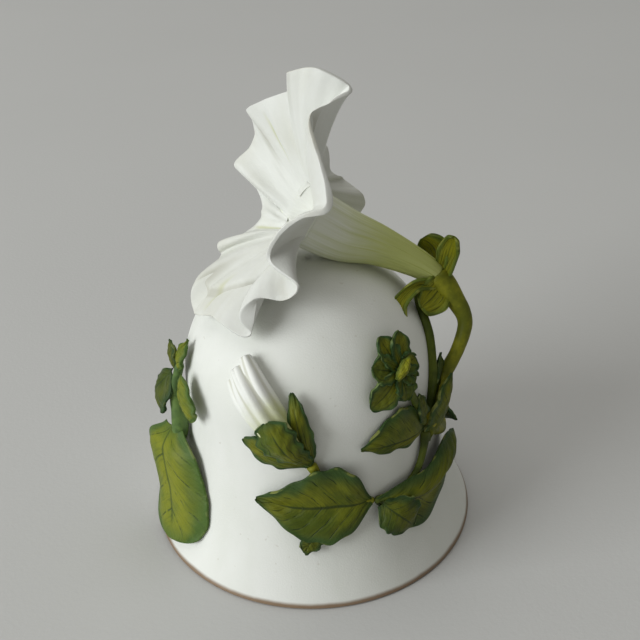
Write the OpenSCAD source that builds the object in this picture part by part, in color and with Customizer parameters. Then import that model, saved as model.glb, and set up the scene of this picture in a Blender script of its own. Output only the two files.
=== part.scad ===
// Porcelain table bell with applied flowers: a flared bell, a trumpet flower laid over
// its crown, a looped stalk for a handle, a vine of leaves and a bud, and a swivel clapper.
// Millimetres, +Z up, origin at the centre of the rim on the table.

/* [Bell] */
// Outer diameter at the rim
rim_d = 80; // [66:1:100]
// Outer diameter where the skirt meets the dome
waist_d = 60; // [50:1:66]
// Height of the crown above the rim
bell_h = 70.5; // [58:0.5:88]
// Height where the skirt meets the dome
shoulder_h = 42; // [34:0.5:48]
// How quickly the skirt flares near the rim
flare = 2.4; // [1.6:0.1:3.2]
// Thickness of the wall
wall = 3; // [2:0.1:4]

/* [Flower] */
// Height of the flower's throat above the crown
throat_rise = 11.5; // [10:0.5:15]
// Outer diameter of the trumpet at its throat
throat_d = 14; // [12:0.5:15]
// Outer diameter of the trumpet at its calyx
calyx_d = 5.6; // [4.5:0.1:7]
// Thickness of the trumpet's wall
trumpet_wall = 1.5; // [1:0.1:2]
// Thickness of a petal
petal_t = 1.2; // [0.9:0.1:2]
// Size of the flower's limb, 1 as made
limb_size = 1; // [0.8:0.05:1.2]

/* [Stalks and leaves] */
// Diameter of the looped stalk that is the handle
handle_d = 3.4; // [2.8:0.1:4.2]
// How far the handle's loop stands beyond the waist
handle_reach = 6; // [5:0.5:9]
// Diameter of the stalks that lie on the bell
stalk_d = 2.4; // [1.8:0.1:3]
// Thickness of a leaf
leaf_t = 1.1; // [0.8:0.1:1.6]

/* [Clapper] */
// Diameter of the clapper's ball
ball_d = 14; // [10:0.5:16]
// Height of the ball's centre above the table
ball_z = 14; // [10:0.5:18]
// Diameter of the clapper's wire
wire_d = 1.2; // [1:0.1:1.4]
// Outer diameter of the bush in the crown
bush_d = 5; // [4.4:0.1:6]
// Length of the bush
bush_l = 5; // [4:0.5:6]
// Diameter of the swivel's shank
shank_d = 2; // [1.6:0.1:2.4]
// Gap all round between parts that turn
clearance = 0.06; // [0.04:0.01:0.1]

/* [Hidden] */

bisque = [0.93, 0.93, 0.90];
petal_white = [0.96, 0.96, 0.93];
trumpet_green = [0.80, 0.83, 0.62];
leaf_green = [0.42, 0.47, 0.14];
leaf_dark = [0.25, 0.36, 0.15];
stalk_green = [0.33, 0.38, 0.13];
brass = [0.78, 0.62, 0.30];

rim_r = rim_d / 2;
waist_r = waist_d / 2;
dome_h = bell_h - shoulder_h;
round_steps = 96;      // facets of the turned parts' circles

// ---------- curves and skins ----------

function unit(v) = v / norm(v);

// Smooth curve through evenly spaced values or points, t from 0 to 1
function along(p, t) =
    let (n = len(p) - 1, u = min(max(t, 0), 0.99999) * n, i = floor(u), f = u - i)
    let (a = p[max(i - 1, 0)], b = p[i], c = p[i + 1], d = p[min(i + 2, n)])
    0.5 * (2 * b + (c - a) * f + (2 * a - 5 * b + 4 * c - d) * f * f
        + (3 * b - a - 3 * c + d) * f * f * f);

function heading_at(p, t) = unit(along(p, t + 0.01) - along(p, t - 0.01));

// Closed skin over a row of rings that all have the same even number of points. The end
// rings are closed by a strip, so that a thin sheet's curved rim keeps its shape.
module skin(rings) {
    m = len(rings[0]);
    n = len(rings);
    sides = [for (i = [0 : n - 2], j = [0 : m - 1])
        let (a = i * m + j, b = i * m + (j + 1) % m, c = a + m, d = b + m)
        each [[a, b, d], [a, d, c]]];
    first = [for (j = [0 : m / 2 - 2])
        let (a = j, b = j + 1, c = m - 2 - j, d = m - 1 - j) each [[a, c, b], [a, d, c]]];
    last = [for (j = [0 : m / 2 - 2]) let (k = (n - 1) * m)
        let (a = k + j, b = a + 1, c = k + m - 2 - j, d = c + 1) each [[a, b, c], [a, c, d]]];
    polyhedron([for (r = rings) each r], concat(sides, first, last));
}

// Ring of points round a place on a path
function ring(centre, dir, facing, r, sides) =
    let (u = unit(cross(dir, facing)), v = cross(dir, u))
    [for (k = [0 : sides - 1]) let (a = -360 * k / sides) centre + r * (cos(a) * u + sin(a) * v)];

// Round stalk along a path; radii are spread evenly along it
module stalk(path, radii, facing, steps = 14, sides = 8)
    skin([for (i = [0 : steps]) let (t = i / steps)
        ring(along(path, t), heading_at(path, t), facing, along(radii, t), sides)]);

// ---------- the bell's surface ----------

function bell_r(z) = z < shoulder_h
    ? waist_r + (rim_r - waist_r) * pow(1 - max(z, 0) / shoulder_h, flare)
    : waist_r * sqrt(max(0, 1 - pow((z - shoulder_h) / dome_h, 2)));

function bell_slope(z) = (bell_r(z + 0.05) - bell_r(z - 0.05)) / 0.1;

// Place on the bell: azimuth from the front, height, and lift off the surface
function on_bell(az, z, lift = 0) =
    let (m = bell_slope(z), k = 1 / norm([1, m]), r = bell_r(z) + lift * k)
    [r * sin(az), -r * cos(az), z - lift * m * k];

// The same with the height as a share of the bell's height
function spot(az, share, lift = 0) = on_bell(az, share * bell_h, lift);

// Leaf wrapped on the bell. It starts at an azimuth and a share of the height and runs
// towards heading (0 right, 90 up). left and right are the half widths on either side of
// that way, lifts the height of the midrib off the bell, section the extra lift from the
// right edge to the left, and bend how far the midrib strays to the left.
function leaf_point(at, heading, length, left, right, lifts, section, bend, s, t, drop) =
    let (z0 = at[1] * bell_h, m = bell_slope(z0), k = 1 / norm([1, m]))
    let (x = length * s, y = t * along(t > 0 ? left : right, s) + along(bend, s))
    let (du = x * cos(heading) - y * sin(heading), dv = x * sin(heading) + y * cos(heading))
    let (z = z0 + dv * k, az = at[0] + du / bell_r(z0 + dv * k / 2) * 180 / PI)
    let (full = min(1, 4 * s * (1 - s) + 0.2))
    on_bell(az, z, along(lifts, s) + full * along(section, (t + 1) / 2) - drop);

module bell_leaf(at, heading, length, left, right, lifts, section = [0, 0, 0], bend = [0, 0, 0],
    steps = 8, across = 4) {
    skin([for (i = [0 : steps]) let (s = 0.02 + 0.96 * i / steps) concat(
        [for (j = [0 : across]) leaf_point(at, heading, length, left, right, lifts, section,
            bend, s, 2 * j / across - 1, leaf_t)],
        [for (j = [across : -1 : 0]) leaf_point(at, heading, length, left, right, lifts, section,
            bend, s, 2 * j / across - 1, 0)])]);
}

// Leaf that stands free: midrib points, half widths, the way its face looks, and its cup
module free_leaf(midrib, widths, face, cup = 0, thick = leaf_t, steps = 8, across = 4) {
    skin([for (i = [0 : steps]) let (s = 0.02 + 0.96 * i / steps)
        let (dir = heading_at(midrib, s), side = unit(cross(face, dir)), up = cross(dir, side))
        let (w = along(widths, s), c = along(midrib, s))
        concat(
            [for (j = [0 : across]) let (t = 2 * j / across - 1)
                c + side * w * t + up * (cup * t * t - thick)],
            [for (j = [across : -1 : 0]) let (t = 2 * j / across - 1)
                c + side * w * t + up * cup * t * t])]);
}

// ---------- the bell and its clapper ----------

crown_in = bell_h - wall;                    // height of the inside under the crown
crown_z = shoulder_h + 0.7 * dome_h;         // height where the dome meets the crown
boss_d = bush_d + 2 * wall;
boss_z = crown_in - bush_l - 3;              // lower face of the boss
head_d = shank_d + 1.4;
head_h = 1;
head_gap = 0.15;                             // play over and under the swivel's head
bush_top = boss_z + bush_l;
pivot_z = boss_z - 4.5;
tab_t = 1.6;                                 // thickness of the swivel's eye
tab_d = 4;
bail_w = 5;                                  // width of the clapper's bail
bail_h = 6;

// Quarter ellipse of the dome's profile between two heights
function dome_arc(r, h, from, to) =
    let (a0 = asin((from - shoulder_h) / h), a1 = asin(min(1, (to - shoulder_h) / h)))
    [for (i = [0 : 9]) let (a = a0 + (a1 - a0) * i / 9) [r * cos(a), shoulder_h + h * sin(a)]];

function reversed(list) = [for (i = [len(list) - 1 : -1 : 0]) list[i]];

// The bell is cast in one piece, and is drawn as a skirt, a dome and a crown that meet
// face to face, so that each of them is a simple ring.
module bell_skirt() {
    outside = [for (i = [0 : 28]) let (z = shoulder_h * i / 28) [bell_r(z), z]];
    inside = [for (p = reversed(outside)) [p[0] - wall, p[1]]];
    color(bisque) rotate_extrude($fn = round_steps) polygon(concat(outside, inside));
}

module bell_dome() color(bisque) rotate_extrude($fn = round_steps)
    polygon(concat(dome_arc(waist_r, dome_h, shoulder_h, crown_z),
        reversed(dome_arc(waist_r - wall, dome_h - wall, shoulder_h, crown_z))));

module bell_crown() color(bisque) difference() {
    union() {
        rotate_extrude($fn = round_steps)
            polygon(concat(dome_arc(waist_r, dome_h, crown_z, bell_h),
                reversed(dome_arc(waist_r - wall, dome_h - wall, crown_z, crown_in))));
        translate([0, 0, boss_z])
            cylinder(d = boss_d, h = bell_h - wall / 2 - boss_z, $fn = 48);
    }
    translate([0, 0, boss_z - 1])
        cylinder(d = bush_d, h = 1 + bush_l, $fn = 48);
    translate([0, 0, bush_top - 0.01])
        cylinder(d = head_d + 0.6, h = head_h + 2 * head_gap + 0.01, $fn = 48);
}

module swivel_bush() color(brass) translate([0, 0, boss_z]) difference() {
    cylinder(d = bush_d, h = bush_l, $fn = 48);
    translate([0, 0, -1])
        cylinder(d = shank_d + 2 * clearance, h = bush_l + 2, $fn = 48);
}

module swivel_eye() color(brass) {
    translate([0, 0, bush_top + head_gap])
        cylinder(d = head_d, h = head_h, $fn = 48);
    translate([0, 0, pivot_z + 1])
        cylinder(d = shank_d, h = bush_top + head_gap - pivot_z - 1, $fn = 48);
    difference() {
        translate([0, tab_t / 2, pivot_z]) rotate([90, 0, 0]) union() {
            cylinder(d = tab_d, h = tab_t, $fn = 48);
            translate([-tab_d / 2, 0, 0])
                cube([tab_d, boss_z - 0.8 - pivot_z, tab_t]);
        }
        translate([0, tab_t, pivot_z]) rotate([90, 0, 0])
            cylinder(d = wire_d + 2 * clearance, h = 2 * tab_t, $fn = 48);
    }
}

// Straight wire from one place to another
module wire(from, to) {
    v = to - from;
    translate(from) rotate([0, acos(v[2] / norm(v)), atan2(v[1], v[0])])
        cylinder(d = wire_d, h = norm(v), $fn = 32);
}

module clapper_wire() color(brass) {
    left = [0, -bail_w / 2, pivot_z];
    right = [0, bail_w / 2, pivot_z];
    foot = [0, 0, pivot_z - bail_h];
    wire(left, right);
    for (end = [left, right]) {
        wire(end, foot);
        translate(end) sphere(d = wire_d + 0.1, $fn = 32);
    }
    translate(foot) sphere(d = wire_d + 0.3, $fn = 32);
    wire([0, 0, ball_z - ball_d / 2 - 0.5], foot);
    translate([0, 0, ball_z - ball_d / 2 - 1.2])
        cylinder(d = 3, h = 0.9, $fn = 32);
}

module clapper_ball() color(bisque) difference() {
    translate([0, 0, ball_z]) sphere(d = ball_d, $fn = 64);
    translate([0, 0, ball_z - ball_d])
        cylinder(d = wire_d, h = 2 * ball_d, $fn = 24);
    translate([0, 0, ball_z - ball_d / 2 - 1.2])
        cylinder(d = 3.2, h = 1, $fn = 32);
}

// ---------- the flower ----------

throat = [-1.5, 0, bell_h + throat_rise];
mouth_dir = unit([-0.87, -0.13, 0.48]);
mouth_up = unit([0, 0, 1] - mouth_dir[2] * mouth_dir);
mouth_far = cross(mouth_dir, mouth_up);
calyx = [waist_r - 0.7, 2, bell_h - 6.4];
trumpet_path = [
    calyx,
    [waist_r * 0.81, 2, bell_h - 2.8],
    [waist_r * 0.52, 2, bell_h + 1.9],
    [waist_r * 0.23, 1.5, bell_h + 5.5],
    throat
];
trumpet_radii = [calyx_d / 2, 3.4, 4.7, 6.4, throat_d / 2];
hollow_from = 0.6;                           // where along the trumpet its hollow ends

module trumpet() {
    outer = [for (i = [0 : 12]) let (t = i / 12)
        ring(along(trumpet_path, t), t > 0.97 ? mouth_dir : heading_at(trumpet_path, t),
            [0, 1, 0], along(trumpet_radii, t), 20)];
    inner = [for (i = [5 : -1 : 0]) let (t = hollow_from + (1 - hollow_from) * i / 5)
        ring(along(trumpet_path, t), t > 0.97 ? mouth_dir : heading_at(trumpet_path, t),
            [0, 1, 0], along(trumpet_radii, t) - trumpet_wall, 20)];
    color(trumpet_green) skin(concat(outer, inner));
}

// Pad of slip that fixes the trumpet to the crown
module flower_pad() color(bisque) translate([3, 3, bell_h - 1.4])
    cylinder(d1 = 6, d2 = 4, h = 2.2, $fn = 32);

// Petal from an arc of the throat to a rim through given points, which are offsets from
// the throat; lip pushes the sheet forward before the rim, so that the rim rolls back.
function petal_point(rim, from, to, lip, fold, s, q) =
    let (a = from + (to - from) * q, r0 = throat_d / 2 - petal_t / 2)
    let (base = throat + r0 * (cos(a) * mouth_up + sin(a) * mouth_far) - 0.6 * mouth_dir)
    let (edge = throat + limb_size * along(rim, q), reach = norm(edge - base))
    let (p1 = base + mouth_dir * reach * 0.15 + (base - throat) * 0.3)
    let (p2 = edge + mouth_dir * lip - (edge - base) * 0.25)
    let (w = 1 - s, crease = fold * sin(180 * s) * exp(-pow((q - 0.5) / 0.14, 2)))
    w * w * w * base + 3 * w * w * s * p1 + 3 * w * s * s * p2 + s * s * s * edge
        - mouth_dir * crease;

function petal_normal(rim, from, to, lip, fold, s, q) =
    let (u = petal_point(rim, from, to, lip, fold, s + 0.02, q)
        - petal_point(rim, from, to, lip, fold, s - 0.02, q))
    let (v = petal_point(rim, from, to, lip, fold, s, q + 0.02)
        - petal_point(rim, from, to, lip, fold, s, q - 0.02))
    unit(cross(u, v));

module petal(rim, from, to, lip = 3, fold = 1, steps = 7, across = 10) {
    color(petal_white) skin([for (i = [0 : steps]) let (s = i / steps) concat(
        [for (j = [0 : across]) let (q = j / across)
            petal_point(rim, from, to, lip, fold, s, q)
            + petal_normal(rim, from, to, lip, fold, s, q) * petal_t / 2],
        [for (j = [across : -1 : 0]) let (q = j / across)
            petal_point(rim, from, to, lip, fold, s, q)
            - petal_normal(rim, from, to, lip, fold, s, q) * petal_t / 2])]);
}

top_rim = [[-2, 3, 31], [4, 0, 33], [11, -3, 30], [7, -7, 29], [2, -10, 27]];
near_rim = [[2, -10, 27], [4, -16, 20], [6, -21, 12], [0, -21, 10], [-5, -18, 4], [-7, -18, -2]];
lower_rim = [[-7, -18, -2], [-1, -22, -6], [-4, -22, -9], [-10, -20, -10], [-12, -23, -17],
    [-18, -19, -16], [-21, -14, -17], [-25, -8, -20], [-25, -3, -15], [-19, 5, -14]];
left_rim = [[-19, 5, -14], [-18, 6, -11], [-11, 9, -8], [-8, 11, -4], [-13, 17, 0], [-14, 19, 4]];
far_rim = [[-14, 19, 3], [-10, 18, 11], [-12, 17, 17], [-7, 14, 21], [-1, 9, 25]];
back_rim = [[2, 12, 9], [6, 14, 6], [9, 16, 3], [15, 14, -1], [11, 12, -2]];

module petal_top() petal(top_rim, 40, -28, lip = 2);
module petal_near() petal(near_rim, -24, -100, lip = 2);
module petal_lower() petal(lower_rim, -96, -194, lip = 3, across = 16);
module petal_left() petal(left_rim, 170, 112, lip = 2);
module petal_far() petal(far_rim, 116, 30, lip = 1, fold = 2);
module petal_back() petal(back_rim, 28, 66, lip = 0, fold = 0);

// ---------- calyx and handle ----------

module sepal_left() color(leaf_green)
    free_leaf([calyx + [0.6, 0, 0], calyx + [0, 3, 5], calyx + [-3, 4, 7]],
        [1.4, 3.2, 2.6, 0.5], [-0.8, -0.6, 0.2], cup = 0.4);
module sepal_right() color(leaf_green)
    free_leaf([calyx + [1.2, -1, 0], calyx + [2.6, -1, 6], calyx + [3.6, -2, 11]],
        [1.8, 2.2, 2.2, 0.5], [-0.5, -0.9, 0.1], cup = 0.8);
module sepal_front() color(leaf_green)
    free_leaf([calyx + [1, -2, -0.5], calyx + [-2, -5, -2.5], calyx + [-5.5, -8, -3]],
        [2, 3.4, 3.2, 0.8], [0.3, -0.8, 0.5], cup = 0.8);
module sepal_hanging() color(leaf_green)
    free_leaf([calyx + [0, -2, -1.5], calyx + [-5, -6, 0.5], calyx + [-9, -9, -2.5],
        calyx + [-8.5, -11, -7.5]], [1.2, 1.4, 1.9, 1.6, 0.4], [-0.3, -0.8, 0.6], cup = 0.7);
module sepal_back() color(leaf_dark)
    free_leaf([calyx + [0, 0, -1], calyx + [-3, 1, -3.5], calyx + [-6, 0, -4]],
        [1.4, 2, 1.6, 0.4], [0, 0, -1], cup = 0.5);

stalk_foot = spot(57, 0.49, handle_d / 2);
loop_x = waist_r + handle_reach;
handle_path = [
    calyx + [0, 0, -0.3],
    [loop_x - 1.6, 0, bell_h - 10],
    [loop_x, -3, bell_h - 15.5],
    [loop_x - 1.6, -6, bell_h - 21.5],
    [loop_x - 5.5, -10, bell_h - 27.5],
    stalk_foot
];

module handle_stalk() color(stalk_green)
    stalk(handle_path, handle_d * [0.85, 0.52, 0.5, 0.47, 0.5, 0.55], [0, 1, 0], steps = 20);

back_path = [
    calyx + [0, -1, -1.5],
    spot(88, 0.84, 1.8),
    spot(75, 0.755, 0.8),
    spot(66, 0.66, 0.9),
    spot(62, 0.56, 1),
    spot(57, 0.48, 1)
];

module back_stalk() color(leaf_dark)
    stalk(back_path, stalk_d * [0.6, 0.5, 0.45, 0.5, 0.55], [0, 1, 0], steps = 16);

module axil_leaf() color(leaf_green)
    bell_leaf([57, 0.45], 68, 15, [0.8, 2.6, 3, 2, 0.3], [0.8, 4, 4.6, 2.6, 0.3],
        [1, 3.4, 5, 5], [-1.5, 0, -1.5]);
module axil_leaf_inner() color(leaf_dark)
    bell_leaf([54, 0.5], 104, 12, [0.5, 1.4, 1.5, 0.4], [0.5, 1.4, 1.5, 0.4], [1.2, 2.6, 2.4]);
module axil_leaf_back() color(leaf_dark)
    bell_leaf([64, 0.5], 72, 15, [0.6, 2.4, 2.6, 0.4], [0.6, 2.2, 2.2, 0.4], [1.2, 2, 2.4]);

// ---------- right-hand leaves ----------

module mid_leaf() color(leaf_green)
    bell_leaf([55, 0.51], 173, 18.8, [0.8, 2.4, 2.6, 2.2, 0.3], [0.8, 6.6, 8.2, 4.8, 0.3],
        [1.2, 2, 1.8, 1.5, 1.2], [-0.4, 0.5, -0.3]);

rosette_path = [spot(55, 0.52, 1), spot(50, 0.6, 1.2), spot(45, 0.68, 1.6), spot(42, 0.74, 1.8)];
module rosette_stalk() color(leaf_dark)
    stalk(rosette_path, stalk_d * [0.5, 0.42, 0.42], [1, 0, 0], steps = 8);

// Small leaves round a centre: heading, length, half width, lift of the tip
rosette = [
    [105, 7.5, 2.1, 2.0], [62, 6.5, 2.0, 2.4], [20, 6.0, 2.0, 2.2], [158, 7.5, 2.3, 2.0],
    [212, 9.5, 2.4, 1.4], [272, 7.5, 2.0, 1.6], [318, 6.0, 1.9, 1.8]
];
module rosette_leaf(k) {
    shape = rosette[k - 1];
    color(k % 2 == 0 ? leaf_dark : leaf_green)
        bell_leaf([41, 0.755], shape[0], shape[1], shape[2] * [0.35, 1, 0.95, 0.15],
            shape[2] * [0.35, 1, 0.95, 0.15], [1.8, 2.4, shape[3]], [0.5, 0, 0.5],
            steps = 6, across = 4);
}
module rosette_leaf_1() rosette_leaf(1);
module rosette_leaf_2() rosette_leaf(2);
module rosette_leaf_3() rosette_leaf(3);
module rosette_leaf_4() rosette_leaf(4);
module rosette_leaf_5() rosette_leaf(5);
module rosette_leaf_6() rosette_leaf(6);
module rosette_leaf_7() rosette_leaf(7);

lower_path = [spot(57, 0.48, 1), spot(54, 0.42, 1.2), spot(48, 0.36, 1.2), spot(38, 0.33, 1.2),
    spot(25, 0.33, 1)];
module lower_stalk() color(stalk_green)
    stalk(lower_path, stalk_d * [0.55, 0.5, 0.5, 0.5], [0.5, 1, 0], steps = 10);

// Leaf whose lower edge is folded back under a bulging upper part
module folded_leaf() color(leaf_green)
    bell_leaf([25, 0.33], 354, 34, [0.8, 3.4, 4.6, 5, 5.6, 4, 0.5], [0.8, 8, 10.4, 8.6, 7, 4.6, 0.5],
        [1.2, 2.6, 3.6, 4, 4, 3.6, 3.2], [-2.6, -2.2, -1.8, 0.9, 1.2, 0.4, -1.4], [0, -1.4, 0.6, 2.6],
        steps = 12, across = 8);

// ---------- front leaf and bud ----------

module front_leaf() color(leaf_green)
    bell_leaf([24, 0.34], 177, 26, [0.6, 6, 8.6, 8.8, 6.6, 3.4, 0.3], [0.6, 8.6, 11, 10.6, 7.2, 3.2, 0.3],
        [1.2, 2.4, 2.2, 2, 1.8, 1.6, 1.3], [0.6, 0.5, -0.5, 0.5, 0.4], [0, 0, 0.6, 0],
        steps = 10, across = 6);

bud_stalk_path = [spot(25, 0.33, 0.7), spot(14, 0.36, 0.5), spot(5, 0.42, 0.5), spot(-1, 0.51, 1)];
module bud_stalk() color(stalk_green)
    stalk(bud_stalk_path, stalk_d * [0.35, 0.3, 0.3, 0.5], [0, 0, 1], steps = 8);

// Furled bud: a lobed, tapered roll that lies on the bell
bud_path = [spot(-8, 0.6, 2.4), spot(-17, 0.675, 2.8), spot(-27, 0.75, 2.8), spot(-37, 0.82, 2.6)];
module bud() {
    radii = [1.4, 2.4, 3.1, 3.1, 2.2];
    color(petal_white) skin([for (i = [0 : 10]) let (t = i / 10)
        let (c = along(bud_path, t), dir = heading_at(bud_path, t))
        let (u = unit(cross(dir, c)), v = cross(dir, u), r = along(radii, t))
        [for (k = [0 : 15]) let (a = -360 * k / 16)
            c + r * (1 + 0.13 * cos(3 * a + 200 * t)) * (cos(a) * u + 0.8 * sin(a) * v)]]);
}

module bud_sepal_left() color(leaf_dark)
    bell_leaf([-1, 0.51], 158, 15.5, [0.8, 2.4, 3, 1.6, 0.2], [0.8, 2.4, 2.8, 1.6, 0.2],
        [1.2, 2.6, 2.8, 2.2], [-0.4, 0.4, -0.4]);
module bud_sepal_mid() color(leaf_green)
    bell_leaf([-1, 0.51], 122, 15, [1, 3, 4.6, 3.6, 0.4], [1, 2.6, 3.4, 2.6, 0.4],
        [1.8, 5.4, 7, 6.6], [-1.6, 0, -1.6]);
module bud_sepal_right() color(leaf_dark)
    bell_leaf([-1, 0.51], 102, 18, [0.8, 2, 2.2, 1.2, 0.2], [0.8, 2.2, 2.4, 1.2, 0.2],
        [1.2, 3, 3.4, 2.4], [-0.6, 0.2, -0.6]);

// ---------- left-hand leaves ----------

left_path = [spot(-74, 0.68, 2), spot(-75, 0.58, 3), spot(-73, 0.5, 2.6), spot(-73, 0.43, 2.4),
    spot(-76, 0.36, 2)];
module left_stalk() color(stalk_green)
    stalk(left_path, [1, 1.3, 1.9, 2, 1.4], [0, 1, 0], steps = 10);
module sprig_leaf_1() color(leaf_green)
    bell_leaf([-75, 0.645], 84, 8.6, [0.6, 1.9, 1.6, 0.2], [0.6, 1.7, 1.4, 0.2], [2.2, 3, 2], [-0.4, 0.3, -0.4]);
module sprig_leaf_2() color(leaf_dark)
    bell_leaf([-76, 0.64], 122, 6.6, [0.6, 2, 1.8, 0.3], [0.6, 1.8, 1.6, 0.3], [2.4, 4, 4.4], [-0.3, 0.3, -0.3]);
module left_leaf_dark() color(leaf_dark)
    bell_leaf([-77, 0.64], 250, 15.5, [1, 4.4, 4.8, 3.8, 0.6], [1, 3.6, 4, 3, 0.5],
        [3.4, 6.6, 7, 5.6], [-0.6, 0.5, -0.6]);
module left_leaf_light() color(leaf_green)
    bell_leaf([-74, 0.64], 286, 12.5, [0.8, 2.8, 3.2, 0.6], [0.8, 2.4, 2.6, 0.6],
        [3.4, 3.2, 2.2], [-0.4, 0.6, -0.8]);
module hanging_leaf() color(leaf_green)
    bell_leaf([-76, 0.45], 286, 30.5, [3, 8, 10, 11, 10.4, 4], [4.4, 9.4, 8.6, 9, 9.4, 4],
        [3.6, 6, 5, 3.4, 2.4, 1.8], [-0.6, 0.8, 0.4, 0.4, -1.4], steps = 10, across = 6);
module tucked_leaf() color(leaf_dark)
    bell_leaf([-86, 0.4], 262, 9, [0.5, 2.2, 2, 0.3], [0.5, 2, 1.8, 0.3], [1.4, 2.6, 1.6]);

// ---------- vine round the back ----------

vine_path = [spot(57, 0.48, 0.8), spot(80, 0.36, 0.9), spot(110, 0.3, 0.9), spot(140, 0.4, 0.9),
    spot(172, 0.46, 0.9), spot(205, 0.38, 0.9), spot(236, 0.32, 0.9), spot(262, 0.36, 1),
    spot(282, 0.46, 2)];
module back_vine() color(stalk_green)
    stalk(vine_path, stalk_d * [0.5, 0.5, 0.5, 0.5, 0.5, 0.5], [0, 0, 1], steps = 30);
module right_back_leaf() color(leaf_dark)
    bell_leaf([114, 0.3], 178, 12.5, [0.6, 3, 3.4, 2, 0.3], [0.6, 3, 3.2, 2, 0.3],
        [1.4, 2.6, 3.6, 4.6], [-0.6, 0.4, -0.6]);
module back_leaf_1() color(leaf_green)
    bell_leaf([138, 0.4], 70, 20, [0.8, 5, 6.4, 4, 0.3], [0.8, 5, 6, 3.6, 0.3],
        [1.4, 2.2, 2, 1.4], [0.4, 0.3, -0.4, 0.3, 0.4]);
module back_leaf_2() color(leaf_green)
    bell_leaf([176, 0.45], 292, 24, [0.8, 6, 7.6, 5, 0.3], [0.8, 6, 7, 4.6, 0.3],
        [1.4, 2.2, 2.2, 1.4], [0.5, 0.3, -0.4, 0.3, 0.5]);
module back_leaf_3() color(leaf_dark)
    bell_leaf([218, 0.36], 96, 19, [0.8, 4.6, 6, 3.6, 0.3], [0.8, 4.6, 5.6, 3.4, 0.3],
        [1.4, 2.2, 2, 1.4], [0.4, 0.3, -0.4, 0.3, 0.4]);

bell_skirt();
bell_dome();
bell_crown();
flower_pad();
trumpet();
petal_top();
petal_far();
petal_left();
petal_lower();
petal_near();
petal_back();
sepal_left();
sepal_right();
sepal_front();
sepal_hanging();
sepal_back();
handle_stalk();
back_stalk();
axil_leaf();
axil_leaf_inner();
axil_leaf_back();
mid_leaf();
rosette_stalk();
rosette_leaf_1();
rosette_leaf_2();
rosette_leaf_3();
rosette_leaf_4();
rosette_leaf_5();
rosette_leaf_6();
rosette_leaf_7();
lower_stalk();
folded_leaf();
front_leaf();
bud_stalk();
bud();
bud_sepal_left();
bud_sepal_mid();
bud_sepal_right();
left_stalk();
sprig_leaf_1();
sprig_leaf_2();
left_leaf_dark();
left_leaf_light();
hanging_leaf();
tucked_leaf();
back_vine();
right_back_leaf();
back_leaf_1();
back_leaf_2();
back_leaf_3();
swivel_bush();
swivel_eye();
clapper_wire();
clapper_ball();
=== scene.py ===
# Porcelain table bell with an applied trumpet flower, a looped stalk and painted leaves.
import math

import bmesh
import bpy
import numpy as np
from mathutils import Matrix, Vector


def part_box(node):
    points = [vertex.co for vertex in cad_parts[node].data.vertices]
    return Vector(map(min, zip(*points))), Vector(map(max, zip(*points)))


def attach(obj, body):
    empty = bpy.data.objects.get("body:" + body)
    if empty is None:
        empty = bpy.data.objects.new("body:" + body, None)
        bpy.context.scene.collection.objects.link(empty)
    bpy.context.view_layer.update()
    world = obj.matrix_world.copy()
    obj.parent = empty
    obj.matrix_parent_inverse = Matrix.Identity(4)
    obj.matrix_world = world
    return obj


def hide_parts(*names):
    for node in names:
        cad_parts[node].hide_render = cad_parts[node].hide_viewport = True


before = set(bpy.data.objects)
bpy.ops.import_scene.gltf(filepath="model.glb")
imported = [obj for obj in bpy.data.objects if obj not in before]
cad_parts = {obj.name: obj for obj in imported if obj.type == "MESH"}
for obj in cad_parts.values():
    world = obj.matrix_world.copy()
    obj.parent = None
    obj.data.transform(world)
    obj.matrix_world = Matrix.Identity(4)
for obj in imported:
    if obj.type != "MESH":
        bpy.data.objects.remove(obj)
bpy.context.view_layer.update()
scene = bpy.context.scene
mm = 0.001

print("frame loaded")


camera = {
    "place": (0.0, -0.2175, 0.1923),
    "lens": 61.875,  # mm
    "sensor": 36,  # mm
    "near": 0.01,
    "down": 32.5,  # degrees
    "aside": 0.64,
    "roll": -1.14,
}


def makeCamera():
    data = bpy.data.cameras.new("camera")
    data.lens = camera["lens"]
    data.sensor_width = camera["sensor"]
    data.clip_start = camera["near"]
    obj = bpy.data.objects.new("camera", data)
    obj.matrix_world = (
        Matrix.Translation(camera["place"])
        @ Matrix.Rotation(-math.radians(camera["aside"]), 4, "Z")
        @ Matrix.Rotation(math.radians(90 - camera["down"]), 4, "X")
        @ Matrix.Rotation(math.radians(camera["roll"]), 4, "Z")
    )
    scene.collection.objects.link(obj)
    scene.camera = obj


lights = [
    dict(name="window", place=(-1.5, -0.75, 0.62), size=1.1, power=25.0, colour=(0.97, 1.0, 0.99)),
    dict(name="ceiling", place=(-0.2, 0.3, 1.4), size=1.6, power=8.5, colour=(1.0, 1.0, 0.97)),
    dict(name="fill", place=(0.5, -1.0, 0.3), size=0.9, power=0.5, colour=(1.0, 0.97, 0.85)),
]
studio = {"aim": (0, 0, 0.05), "world": (1.0, 0.98, 0.90, 1), "worldStrength": 0.17}


def makeLights():
    for spec in lights:
        data = bpy.data.lights.new(spec["name"], "AREA")
        data.size = spec["size"]
        data.energy = spec["power"]
        data.color = spec["colour"]
        obj = bpy.data.objects.new(spec["name"], data)
        aim = Vector(spec["place"]) - Vector(studio["aim"])
        turn = aim.to_track_quat("Z", "Y").to_matrix().to_4x4()
        obj.matrix_world = Matrix.Translation(spec["place"]) @ turn
        scene.collection.objects.link(obj)
    world = bpy.data.worlds.new("studio")
    world.use_nodes = True
    back = world.node_tree.nodes["Background"]
    back.inputs["Color"].default_value = studio["world"]
    back.inputs["Strength"].default_value = studio["worldStrength"]
    scene.world = world
    scene.view_settings.view_transform = "Standard"


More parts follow.
